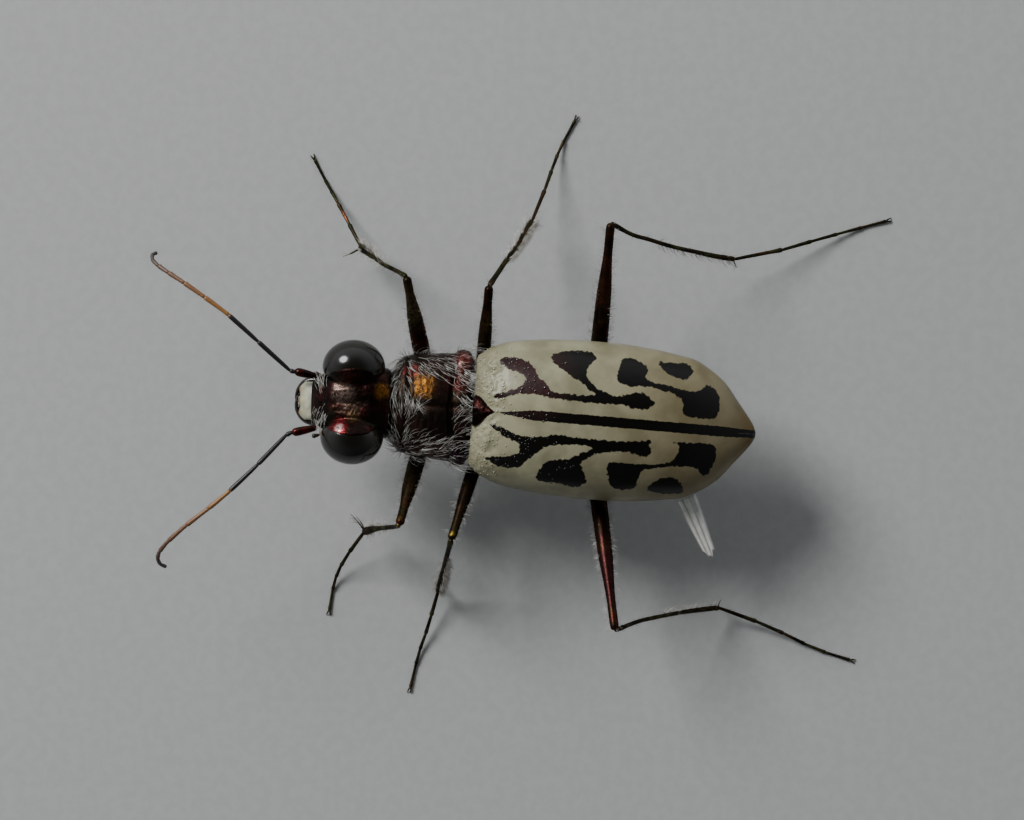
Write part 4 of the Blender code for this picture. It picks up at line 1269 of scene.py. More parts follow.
@dataclass(frozen=True)
class Groove:
    """A groove or a ridge: its place, its half width and its depth."""

    place: float
    width: float
    depth: float

    def at(self, distance: Array) -> Array:
        """The depth at places given by their distance along the same axis."""
        return self.depth * hill(distance - self.place, self.width)


HEAD_FRAME = BodyFrame((-0.07, -6.35, 4.90), -1.9, 0.0)
PROTHORAX_FRAME = BodyFrame((0.07, -3.42, 4.38), -3.5, 3.0)
HIND_FRAME = BodyFrame((0.23, -1.90, 5.00), -4.9, 4.0)


@dataclass
class Head:
    """The head capsule, its eyes, lip, jaws and mouth feelers."""

    body: BodyFrame = HEAD_FRAME
    profile: Profile = Profile(
        (
            (-1.50, 0.72, 0.08, -0.42), (-1.42, 0.80, 0.20, -0.50), (-1.12, 0.94, 0.50, -0.80),
            (-0.70, 1.14, 0.84, -1.08), (0.00, 1.40, 1.02, -1.26), (0.60, 1.45, 1.03, -1.28),
            (1.18, 1.30, 0.90, -1.12)
        )
    )
    rows: int = 150
    columns: int = 220
    side_height: float = -0.10
    domes: Pair = (0.05, 0.42)
    crown_dip: float = 0.16
    clypeus_groove: Groove = Groove(-1.16, 0.05, 0.035)
    furrow: Groove = Groove(0.36, 0.05, 0.008)
    wrinkle_sizes: Pair = (0.22, 0.09)
    wrinkle_heights: Pair = (0.011, 0.008)
    eye_rows: int = 72
    eye_columns: int = 110
    eye_radii: Point = (1.03, 1.16, 1.06)
    eye_inner: float = 0.70
    eye_offset: Point = (1.27, 0.0, 0.30)
    plate_edge: Profile = Profile(
        (
            (-1.02, 0.86), (-0.85, 1.02), (-0.55, 1.14), (-0.11, 1.22), (0.10, 1.24), (0.58, 1.16),
            (0.84, 0.94), (1.00, 0.70)
        )
    )
    plate_height: float = 0.015
    socket: tuple[Point, Point] = ((0.55, -0.72, 0.02), (0.90, -1.25, 0.14))
    socket_radius: float = 0.22
    lip_back: Pair = (-1.36, -0.14)
    lip_front: Pair = (-2.00, -0.46)
    lip_half_width: float = 0.70
    lip_thickness: float = 0.15
    lip_tooth: float = 0.055
    lip_teeth_share: float = 0.84
    lip_corner: float = 0.34
    lip_crown: float = 0.10
    jaw: tuple[tuple[float, ...], ...] = (
        (0.66, -0.66, -0.62, 0.20), (0.72, -1.05, -0.90, 0.22), (0.76, -1.50, -0.98, 0.22),
        (0.66, -1.82, -1.00, 0.18), (0.42, -2.04, -1.02, 0.13), (0.12, -2.12, -1.02, 0.09),
        (-0.20, -2.08, -1.00, 0.03)
    )
    jaw_drop: float = 0.34
    jaw_teeth: tuple[tuple[int, float], ...] = ((2, 0.34), (3, 0.30), (4, 0.26))
    tooth_way: Point = (-0.62, 0.78, 0.05)
    tooth_radii: Pairs = ((0.0, 0.11), (0.6, 0.07), (1.0, 0.012))
    palp_spread: Pair = (0.76, 0.98)
    palp_radii: Pairs = ((0.0, 0.055), (0.5, 0.078), (0.85, 0.098), (1.0, 0.085))
    outer_palp: Path = (
        (0.66, -0.34, -0.80), (0.92, -0.60, -1.30), (1.10, -0.92, -1.66), (1.28, -1.26, -1.72),
        (1.34, -1.52, -1.56)
    )
    inner_palp: Path = (
        (0.28, -0.34, -0.92), (0.34, -0.60, -1.36), (0.36, -0.98, -1.72), (0.40, -1.36, -1.86),
        (0.44, -1.70, -1.84)
    )

    def eye_distance(self, points: Array, side: Side) -> Array:
        """How far points lie outside an eye, in about millimetres."""
        centre = np.array(self.eye_offset) * (side.value, 1, 1)
        return (np.linalg.norm((points - centre) / np.array(self.eye_radii), axis=-1) - 1) * 1.08

    def plates_over_eyes(self, grid: Array) -> Array:
        """Draw the top of the head up over the inner half of each eye.

        Args:
            grid: The head's rings.

        Returns:
            The rings with the plates.
        """
        x, y, z = np.moveaxis(grid, -1, 0)
        across = (self.eye_offset[0] - np.abs(x)) / self.eye_inner
        along = (y - self.eye_offset[1]) / self.eye_radii[1]
        dome = np.sqrt(np.clip(1 - across**2 - along**2, 0, 1))
        inward = self.plate_edge.read(1, y) - np.abs(x)
        cover = self.plate_height * (ease(0.0, 0.06, inward) + 0.4 * hill(inward - 0.08, 0.06))
        lid = self.eye_offset[2] + self.eye_radii[2] * dome + cover - 0.3 * ease(0.0, -0.12, inward)
        covered = (z > 0) & (dome > 0) & (inward > -0.12)
        fill = 0.10 * np.clip(1 - np.abs(z - lid) / 0.40, 0, 1) ** 2 * ease(0.0, 0.3, dome)
        return stacked(x, y, np.where(covered, np.maximum(z, lid) + fill, z))

    def capsule(self) -> Skin:
        """The head with its plates over the eyes, the groove above the clypeus and its wrinkles.

        Returns:
            The skin, in the head's own frame.
        """
        grid = barrel(self.profile, self.rows, self.columns, self.side_height, self.domes)
        x, y, z = np.moveaxis(grid, -1, 0)
        above = ease(0.0, 0.3, z - self.side_height)
        height = -self.crown_dip * hill(y + 0.1, 0.75) * hill(x, 0.42) * above
        height -= self.clypeus_groove.at(y) * above
        height -= self.furrow.at(np.abs(x)) * ease(-1.1, -0.7, y) * ease(0.5, 0.0, y) * above
        grid = self.plates_over_eyes(raised(grid, height))
        front = ease(-1.2, -0.6, y)
        (broad, fine), (high, low) = self.wrinkle_sizes, self.wrinkle_heights
        rough = high * grain(grid * (2.0, 0.8, 1.0), broad) + low * grain(grid, fine)
        parts = [Skin.around(grid + stacked(0.0, 0.0, rough * front * above))]
        for side in Side:
            root, end = (np.array(point) * (side.value, 1, 1) for point in self.socket)
            radii = ((0.0, 1.1), (0.7, 1.0), (0.92, 1.15), (1.0, 1.0))
            sized = tuple((share, scale * self.socket_radius) for share, scale in radii)
            parts.append(Limb((root, end), sized).skin())
        return Skin.joined(*parts)

    def coat_skin(self) -> Skin:
        """The capsule's skin with the marks of its hairs: round the feelers' roots and on the cheeks.

        Returns:
            The skin, in the model's own frame.
        """
        skin = Skin.around(barrel(self.profile, 60, 80, self.side_height, self.domes))
        x, y, z = skin.points.T
        clear = np.minimum(*(self.eye_distance(skin.points, side) for side in Side)) > 0.05
        near_feeler = hill(np.abs(x) - 0.62, 0.26) * hill(y + 1.14, 0.20) * (z > -0.3)
        cheeks = 0.35 * ease(-0.5, -0.9, z) * ease(1.2, 0.6, y)
        skin.marks["grow"] = clear * np.clip(near_feeler * 1.6 + cheeks, 0, 1)
        skin.marks["long"] = 0.75 + 0.45 * near_feeler
        skin.marks["hook"] = 0 * x
        skin.marks["lie"] = stacked(np.sign(x), 0.1 - 0.5 * near_feeler, 0.0)
        return skin.placed(self.body)

    def eye(self, side: Side) -> Skin:
        """One eye: an egg that is flatter towards the middle of the head.

        Args:
            side: Which eye.

        Returns:
            The skin, in the model's own frame.
        """
        polar = math.pi * (np.arange(1, self.eye_rows) / self.eye_rows)[:, None]
        angle = 2 * math.pi * (np.arange(self.eye_columns) / self.eye_columns)[None]
        out = np.cos(polar)
        reach = np.where(out > 0, self.eye_radii[0], self.eye_inner)
        x = side.value * (self.eye_offset[0] + reach * out)
        y = self.eye_offset[1] + self.eye_radii[1] * np.sin(polar) * np.cos(angle)
        z = self.eye_offset[2] + self.eye_radii[2] * np.sin(polar) * np.sin(angle)
        return Skin.around(stacked(x, y, z)).placed(self.body)

    def lip(self) -> Skin:
        """The lip plate: a convex tongue with three blunt teeth on its front edge.

        Returns:
            The skin, with "reach" from its back to its front.
        """
        across = np.linspace(-1, 1, 91)[:, None]
        angle = 2 * math.pi * (np.arange(56) / 56)[None]
        back, front = np.array(self.lip_back), np.array(self.lip_front)
        tooth = self.lip_tooth * np.cos(3 * math.pi * across) * (np.abs(across) < self.lip_teeth_share)
        edge = 1 + tooth - self.lip_corner * np.abs(across) ** 5
        share = (0.5 - 0.5 * np.cos(angle)) * edge
        side_taper = np.sqrt(np.clip(1 - np.abs(across) ** 6, 0.003, 1))
        thick = self.lip_thickness * side_taper * (0.30 + 0.70 * np.sqrt(np.abs(np.sin(angle))))
        lift = np.sign(np.sin(angle)) * thick * np.abs(np.sin(angle)) ** 0.6
        y = back[0] + (front[0] - back[0]) * share
        z = back[1] + (front[1] - back[1]) * share + lift - self.lip_crown * across**2
        return Skin.around(stacked(self.lip_half_width * across, y, z), reach=share).placed(self.body)

    def jaw_skin(self, side: Side) -> Skin:
        """One sickle jaw with teeth on its inner edge; the right one passes below the left.

        Args:
            side: Which jaw.

        Returns:
            The skin, in the model's own frame.
        """
        drop = self.jaw_drop if side is Side.RIGHT else 0.0
        x, y, z, radius = np.array(self.jaw).T
        step = np.arange(len(x))
        late = np.maximum(0.0, 1.5 * (step - 1) / (len(x) - 2) - 0.5)
        path = stacked(x * side.value, y, z - drop * late)
        radii = stacked(step / (len(x) - 1), radius)
        skin = Limb(path, radii, rows=64, columns=24, squash=0.8).skin()
        for step, length in self.jaw_teeth:
            root = path[step] * 0.5 + path[step + 1] * 0.5
            tip = root + np.array(self.tooth_way) * (side.value, 1, 1) * length
            middle = (root + tip) / 2 + (side.value * 0.03, 0.0, 0.0)
            tooth = Limb((root, middle, tip), self.tooth_radii, reach=(0.6, 1.0))
            skin = skin.joined(tooth.skin())
        return skin.placed(self.body)

    def palp(self, points: Path, side: Side) -> Skin:
        """One mouth feeler: joints that swell towards their ends, and a root inside the head.

        Args:
            points: The ends of its joints on the left side.
            side: Which side it is on. The right ones stand closer in.

        Returns:
            The skin, in the model's own frame.
        """
        spread = self.palp_spread[side is Side.LEFT]
        ends = [np.array(point) * (side.value * spread, 1, 1) for point in points]
        joints = len(ends) - 2
        skins = []
        for k, (start, end) in enumerate(zip(ends, ends[1:])):
            span = (max(k - 1, 0) / joints, k / joints)
            skins.append(Limb((start, end), self.palp_radii, reach=span).skin())
        return Skin.joined(*skins).placed(self.body)

    def build(self) -> None:
        """Build and dress the whole head."""
        dress(self.capsule().placed(self.body), "head_capsule", COPPER_HEAD, Slot.COPPER, "head")
        dress(self.lip(), "lip_plate", LIP_IVORY, Slot.IVORY, "labrum")
        for side in Side:
            name = side.label
            dress(self.eye(side), f"compound_eye_{name}", EYE_LENSES, Slot.EYE, f"eye_{name}")
            dress(self.jaw_skin(side), f"jaw_{name}", JAW_CHITIN, Slot.JAW, f"mandible_{name}")
            for pair, path in (("maxillary", self.outer_palp), ("labial", self.inner_palp)):
                node = f"palp_{pair}_{name}"
                dress(self.palp(path, side), f"mouth_feeler_{pair}_{name}", PALP_CHITIN, Slot.PALP, node)
        HairCoat(
            "coat_head", WHITE_HAIR, Slot.HAIR, density=110, length=0.46, thickness=0.012, lift=16,
            spread=24, seed=11
        ).plant(self.coat_skin())


@dataclass
class Feeler:
    """One feeler of eleven joints, given by the ends of its joints."""

    side: Side
    scape: tuple[Point, Point, Point]
    ends: Path
    count: int = 11
    stout: float = 0.088
    bow: float = 0.03
    overlap: float = 0.06

    def scape_skin(self) -> Skin:
        """The stout polished first joint, narrow at its root."""
        radii = ((0.0, 0.09), (0.25, 0.13), (0.75, 0.160), (0.95, 0.14), (1.0, 0.11))
        return Limb(self.scape, radii, rows=36, columns=26).skin()

    def lash(self) -> Skin:
        """The ten slender joints beyond it, each a little wider towards its end.

        Returns:
            The skin, with "reach" from its root to its tip.
        """
        joints = np.array([self.scape[-1], *self.ends])
        skins = []
        for k, (start, end) in enumerate(zip(joints, joints[1:])):
            share = (k + 1) / self.count
            stout = self.stout * (1 - 0.5 * max(0.0, share - 0.5))
            waist = stout * 0.66 if k < 3 else stout * 0.90
            radii = ((0.0, waist), (0.2, stout * 0.88), (0.88, stout * 1.04), (1.0, stout * 0.9))
            before, after = joints[max(k - 1, 0)], joints[min(k + 2, len(joints) - 1)]
            middle = (start + end) / 2 + (end - before + start - after) * self.bow
            inner = start - (end - start) / math.dist(start, end) * self.overlap
            span = (share, share + 1 / self.count)
            skins.append(Limb((inner, middle, end), radii, rows=18, columns=14, reach=span).skin())
        return Skin.joined(*skins)

    def coat_skin(self) -> Skin:
        """The lash with the marks of its hairs: a sparse fuzz on the last joints, none at the root.

        Returns:
            The skin with the marks added.
        """
        skin = self.lash()
        fuzz = ease(0.30, 0.45, skin.marks["reach"])
        marks = {**skin.marks, "grow": fuzz, "long": 0.4 + 0.2 * fuzz, "hook": 0 * fuzz}
        return replace(skin, marks=marks)

    def build(self) -> None:
        """Build and dress the feeler."""
        name = self.side.label
        node = f"antenna_{name}_scape"
        dress(self.scape_skin(), f"feeler_root_{name}", SCAPE_RED, Slot.COPPER, node)
        node = f"antenna_{name}_flagellum"
        dress(self.lash(), f"feeler_lash_{name}", FEELER_CHITIN, Slot.FEELER, node)


FEELERS = (
    Feeler(
        Side.RIGHT, ((-1.00, -7.62, 5.08), (-1.12, -8.12, 5.14), (-1.21, -8.50, 5.16)),
        (
            (-1.25, -8.68, 5.16), (-2.31, -9.84, 5.50), (-3.29, -10.92, 5.62), (-3.94, -11.80, 5.62),
            (-4.46, -12.55, 5.52), (-4.84, -13.14, 5.34), (-5.10, -13.52, 5.14), (-5.30, -13.72, 4.94),
            (-5.50, -13.74, 4.78), (-5.58, -13.56, 4.68)
        )
    ),
    Feeler(
        Side.LEFT, ((0.86, -7.66, 5.08), (0.98, -8.22, 5.14), (1.06, -8.60, 5.16)),
        (
            (1.16, -8.82, 5.16), (2.23, -9.84, 5.50), (3.21, -10.88, 5.62), (3.85, -11.66, 5.62),
            (4.47, -12.48, 5.52), (5.05, -13.14, 5.34), (5.43, -13.46, 5.14), (5.70, -13.54, 4.94),
            (5.90, -13.44, 4.80), (6.00, -13.22, 4.70)
        )
    )
)


@dataclass
class Prothorax:
    """The waisted barrel behind the head, with two cross grooves and a coat of white hairs."""

    body: BodyFrame = PROTHORAX_FRAME
    profile: Profile = Profile(
        (
            (-1.53, 1.28, 0.98, -0.86), (-1.36, 1.55, 1.16, -1.02), (-1.14, 1.76, 1.24, -1.12),
            (-0.98, 1.80, 1.16, -1.14), (-0.70, 1.88, 1.30, -1.20), (-0.10, 1.94, 1.40, -1.26),
            (0.45, 1.98, 1.32, -1.24), (0.70, 2.00, 1.12, -1.18), (0.95, 2.10, 1.22, -1.08),
            (1.22, 2.06, 1.22, -0.98), (1.40, 1.72, 1.04, -0.84)
        )
    )
    rows: int = 150
    columns: int = 190
    side_height: float = -0.05
    domes: Pair = (0.12, 0.10)
    knob_height: float = 0.09
    middle_groove: Groove = Groove(0.0, 0.09, 0.08)
    cross_grooves: tuple[Groove, Groove] = (Groove(0.70, 0.07, 0.06), Groove(-0.97, 0.07, 0.05))
    cross_bow: float = 0.12
    wrinkle_sizes: Pair = (0.26, 0.10)
    wrinkle_heights: Pair = (0.018, 0.010)

    def skin(self) -> Skin:
        """The prothorax with its grooves, wrinkled disc and the knobs at its hind corners.

        Returns:
            The skin with the marks of its hairs.
        """
        grid = barrel(self.profile, self.rows, self.columns, self.side_height, self.domes)
        x, y, z = np.moveaxis(grid, -1, 0)
        above = ease(0.1, 0.5, z)
        height = -self.middle_groove.at(x) * above * ease(-1.3, -0.9, y) * ease(1.3, 0.9, y)
        knob = hill(y - 1.02, 0.26) * hill(np.abs(x) - 1.86, 0.34) * ease(-0.3, 0.2, z)
        height += self.knob_height * knob
        for way, groove in zip((1, -1), self.cross_grooves):
            height -= groove.at(y + way * self.cross_bow * hill(x, 0.9)) * above
        (broad, fine), (high, low) = self.wrinkle_sizes, self.wrinkle_heights
        height += high * grain(grid * (1.0, 2.0, 1.0), broad, 1) + low * grain(grid, fine, 2)
        skin = Skin.around(raised(grid, height))
        x, y, z = skin.points.T
        edge = ease(1.12, 1.36, np.abs(x)) * (1 - 0.6 * ease(1.70, 1.86, np.abs(x)))
        front = ease(-0.86, -1.06, y)
        back = ease(0.60, 0.80, y)
        bare = hill(y - 1.05, 0.26) * hill(np.abs(x) - 1.9, 0.3) * ease(0.0, 0.3, z)
        tuft = ease(0.40, 0.28, np.abs(x - 0.03)) * hill(y + 0.80, 0.16) * (z > 0.3)
        flank = ease(-0.75, -0.35, z)
        cover = np.maximum.reduce([edge, 0.65 * front, 0.8 * back]) * (1 - bare)
        skin.marks["grow"] = np.clip(0.4 * cover * (0.25 + 0.75 * flank) + 1.3 * tuft, 0, 1)
        skin.marks["long"] = 0.82 + 0.35 * back + 0.12 * front + 0.12 * grain(skin.points, 0.5)
        side = np.sign(x)
        along_side = (1 - front) * (1 - 0.6 * back)
        inward = -side * (1 - tuft) - 1.3 * x * tuft
        backward = np.maximum(0.30 * along_side - 0.05 * front + 0.55 * back, tuft)
        rise = 1.0 * ease(1.3, 1.8, np.abs(x))
        skin.marks["lie"] = stacked(inward, backward, rise)
        skin.marks["hook"] = np.where(tuft > 0.2, 0.0, side * (along_side > 0.3))
        return skin.placed(self.body)

    def build(self) -> None:
        """Build and dress the prothorax and its coat."""
        skin = self.skin()
        dress(replace(skin, marks={}), "prothorax_shield", COPPER_NECK, Slot.COPPER, "prothorax")
        HairCoat(
            "coat_prothorax", WHITE_HAIR, Slot.HAIR, density=150, length=0.80, thickness=0.010, lift=6,
            spread=10, seed=23
        ).plant(skin)


@dataclass
class WingCases:
    """The two domed wing cases, with their dark marks given as outlines.

    An outline's points are the place along the seam and the distance from it.
    """

    body: BodyFrame = HIND_FRAME
    profile: Profile = Profile(
        (
            (-0.06, 1.86, 0.46, -0.02), (0.00, 2.03, 0.66, -0.03), (0.14, 2.14, 0.84, -0.06),
            (0.41, 2.35, 1.06, -0.15), (1.14, 2.60, 1.38, -0.25), (2.11, 2.76, 1.63, -0.28),
            (3.00, 2.84, 1.79, -0.28), (4.14, 2.88, 1.90, -0.28), (5.27, 2.87, 1.93, -0.26),
            (6.40, 2.78, 1.85, -0.22), (7.39, 2.64, 1.66, -0.16), (7.93, 2.54, 1.51, -0.12),
            (8.56, 2.22, 1.28, -0.06), (9.12, 1.81, 1.04, 0.00), (9.71, 1.12, 0.74, 0.06),
            (10.12, 0.62, 0.50, 0.10), (10.32, 0.34, 0.36, 0.13), (10.42, 0.12, 0.24, 0.14)
        )
    )
    fullness: float = 2.25
    thickness: float = 0.12
    seam: float = 0.001
    rows: int = 300
    columns: int = 110
    pebbles: float = 0.055
    grain_density: float = 100.0
    grain_widths: Pair = (0.11, 0.09)
    grain_height: float = 0.042
    edge_lip: float = 0.035
    stripe: Profile = Profile(
        ((0.75, -0.02), (1.0, 0.03), (1.3, 0.07), (1.63, 0.12), (2.2, 0.185), (8.8, 0.185), (10.42, 0.14))
    )
    right_marks: tuple[Pairs, ...] = (
        (
            (0.70, 1.90), (1.05, 2.05), (1.50, 2.04), (1.90, 1.84), (2.18, 1.42), (2.52, 1.14),
            (2.72, 0.94), (3.20, 0.89), (3.80, 0.87), (4.20, 0.93), (4.45, 1.10), (4.68, 1.05),
            (5.03, 0.95), (5.65, 1.11), (6.07, 1.16), (6.30, 0.98), (6.47, 0.82), (6.22, 0.58),
            (5.70, 0.57), (5.23, 0.67), (4.55, 0.64), (3.40, 0.66), (2.73, 0.69), (2.20, 0.75),
            (1.50, 0.74), (1.04, 0.57), (0.57, 0.50), (0.62, 0.62), (1.10, 0.80), (1.56, 1.04),
            (1.71, 1.26), (1.53, 1.48), (1.08, 1.62)
        ),
        (
            (2.58, 2.16), (2.96, 2.41), (3.62, 2.51), (4.10, 2.44), (4.22, 2.26), (3.92, 1.82),
            (3.96, 1.52), (4.42, 1.08), (4.40, 0.96), (4.16, 1.02), (3.68, 1.38), (3.00, 1.76)
        ),
        (
            (5.28, 2.38), (5.76, 2.33), (6.13, 2.11), (6.08, 1.74), (6.33, 1.59), (7.08, 1.48),
            (7.78, 1.36), (8.17, 1.46), (8.40, 1.62), (8.72, 1.53), (8.92, 1.10), (8.80, 0.50),
            (8.23, 0.42), (7.59, 0.49), (7.52, 0.90), (7.28, 1.17), (6.62, 1.33), (6.01, 1.42),
            (5.64, 1.35), (5.12, 1.46), (5.03, 1.77), (5.14, 2.17)
        ),
        ((6.56, 2.33), (7.00, 2.36), (7.60, 2.37), (7.85, 2.16), (7.68, 1.85), (7.38, 1.80), (6.87, 1.95))
    )
    left_marks: tuple[Pairs, ...] = (
        (
            (0.55, 0.47), (1.03, 0.57), (1.50, 0.74), (1.94, 0.79), (2.45, 0.76), (3.00, 0.64),
            (3.63, 0.67), (4.23, 0.69), (4.67, 0.66), (5.02, 0.70), (5.80, 0.63), (6.40, 0.56),
            (6.38, 0.77), (6.50, 0.88), (6.34, 1.16), (5.92, 1.10), (5.38, 1.03), (4.72, 1.14),
            (4.28, 1.22), (4.26, 0.96), (3.35, 0.96), (2.70, 1.07), (2.29, 1.39), (1.95, 1.72),
            (1.69, 1.95), (1.10, 1.97), (0.49, 1.70), (1.06, 1.60), (1.53, 1.49), (1.69, 1.33),
            (1.63, 1.05), (1.16, 0.87)
        ),
        (
            (2.43, 2.32), (2.55, 1.85), (2.81, 1.60), (3.42, 1.50), (4.02, 1.19), (4.46, 1.00),
            (4.50, 1.14), (3.98, 1.55), (4.00, 1.73), (4.24, 2.24), (3.92, 2.47), (3.24, 2.41)
        ),
        (
            (4.95, 1.53), (5.36, 1.45), (5.93, 1.47), (6.87, 1.39), (7.31, 1.22), (7.47, 0.91),
            (7.51, 0.62), (7.31, 0.53), (8.16, 0.51), (8.84, 0.54), (8.93, 1.02), (8.73, 1.56),
            (8.51, 1.69), (8.23, 1.41), (7.64, 1.41), (6.88, 1.50), (6.29, 1.65), (6.13, 1.89),
            (6.05, 2.33), (5.58, 2.44), (5.14, 2.31)
        ),
        ((6.57, 2.42), (6.66, 2.11), (7.08, 1.85), (7.55, 1.88), (7.81, 2.13), (7.84, 2.36), (7.35, 2.44))
    )
    swellings: tuple[tuple[float, float, float, float], ...] = (
        (0.50, 1.80, 0.42, 0.10), (0.30, 1.02, 0.34, 0.07), (0.62, 1.42, 0.30, -0.07),
        (0.75, 0.62, 0.26, 0.03)
    )

    def surface(self, side: Side, depth: float) -> tuple[Array, Array, Array]:
        """The surface of one wing case at a depth below its skin.

        Args:
            side: Which wing case.
            depth: How deep the surface lies.

        Returns:
            The grid, and the place along the seam and the distance from it at each point.
        """
        first, last = self.profile.ends
        along = (first + (last - first) * spacing(self.rows))[:, None]
        width, top, margin = (self.profile.read(c, along) for c in (1, 2, 3))
        angle = math.pi / 2 * np.linspace(0, 1, self.columns)[None] ** 1.6
        across = np.sin(angle) ** (2 / self.fullness)
        up = np.cos(angle) ** (2 / self.fullness)
        up[:, -1] = 0.0
        distance = self.seam + (width - self.seam) * across
        z = margin + (top - margin) * up
        for place, off, radius, height in self.swellings:
            z = z + height * hill(along - place, radius) * hill(distance - off, radius)
        spots = stacked(side.value * distance, along, z)
        z = z + self.pebbles * grain(spots, 0.2, 3) * ease(1.4, 0.2, along)
        lip = ease(0.90, 0.985, across) * ease(0.3, 1.2, along) * ease(10.3, 9.0, along)
        shrink = np.clip((width - depth) / width, 0.05, 1)
        x = self.seam + (distance - self.seam) * shrink + self.edge_lip * lip
        sunk = depth * np.clip((top - margin) / 1.2, 0.1, 1) * (0.25 + 0.75 * up)
        return stacked(side.value * x, along, z - sunk), along + 0 * x, distance

    def marks_at(self, side: Side, along: Array, distance: Array) -> Array:
        """How deep each point lies inside the dark marks, below zero outside them.

        Args:
            side: Which wing case.
            along: The place along the seam.
            distance: The distance from the seam.

        Returns:
            The depth at each point.
        """
        spots = stacked(along.ravel(), distance.ravel())
        depth = 2.5 * (self.stripe.read(1, spots[:, 0]) - spots[:, 1])
        depth = np.where(spots[:, 0] < self.stripe.ends[0], -0.5, depth)
        outlines = self.right_marks if side is Side.RIGHT else self.left_marks
        for outline in outlines:
            depth = np.maximum(depth, inside_depth(smooth_line(outline, 4, closed=True), spots))
        return np.clip(depth, -0.4, 0.4).reshape(along.shape)

    def case(self, side: Side) -> tuple[Skin, Skin]:
        """Build one wing case.

        Args:
            side: Which wing case.

        Returns:
            The case, and its upper surface alone with the marks of its grains.
        """
        grid, along, distance = self.surface(side, 0.0)
        inner, _, _ = self.surface(side, self.thickness)
        mark = self.marks_at(side, along, distance)
        width = self.profile.read(1, along)
        rim = ease(0.90, 1.0, distance / width) * (0.15 + 0.5 * ease(6.5, 9.0, along))
        # The amber at the edge and the tip is the case's own; the rise from along 2.5 to 8.5 is painted
        # shade where the case slopes away from the lamp.
        rim = np.maximum(rim, 0.48 * ease(2.5, 8.5, along) + 0.4 * ease(9.4, 10.4, along))
        shell = Skin.shell(grid, inner, mark=mark, rim=rim).placed(self.body)
        near_root = ease(1.5, 0.3, along) * ease(2.45, 2.1, distance)
        in_mark = ease(-0.05, 0.05, mark) * ease(4.2, 1.2, along)
        grow = np.clip(0.8 * near_root + 0.5 * in_mark, 0, 1)
        top = Skin.sheet(grid, mark=mark, rim=rim * 0, grow=grow).placed(self.body)
        return shell, top

    def build(self) -> None:
        """Build and dress both wing cases and their grains."""
        for side in Side:
            shell, top = self.case(side)
            name = f"wing_case_{side.label}"
            dress(shell, name, WING_CASE, Slot.IVORY, f"elytron_{side.label}")
            grains = GrainPlanting().planted(
                top, ("mark", "rim"), density=self.grain_density,
                width=self.grain_widths[side is Side.LEFT], height=self.grain_height, seed=31 + side.value,
                material=WING_GRAIN.material()
            )
            dress(grains, f"grains_{name}", WING_GRAIN, Slot.IVORY)


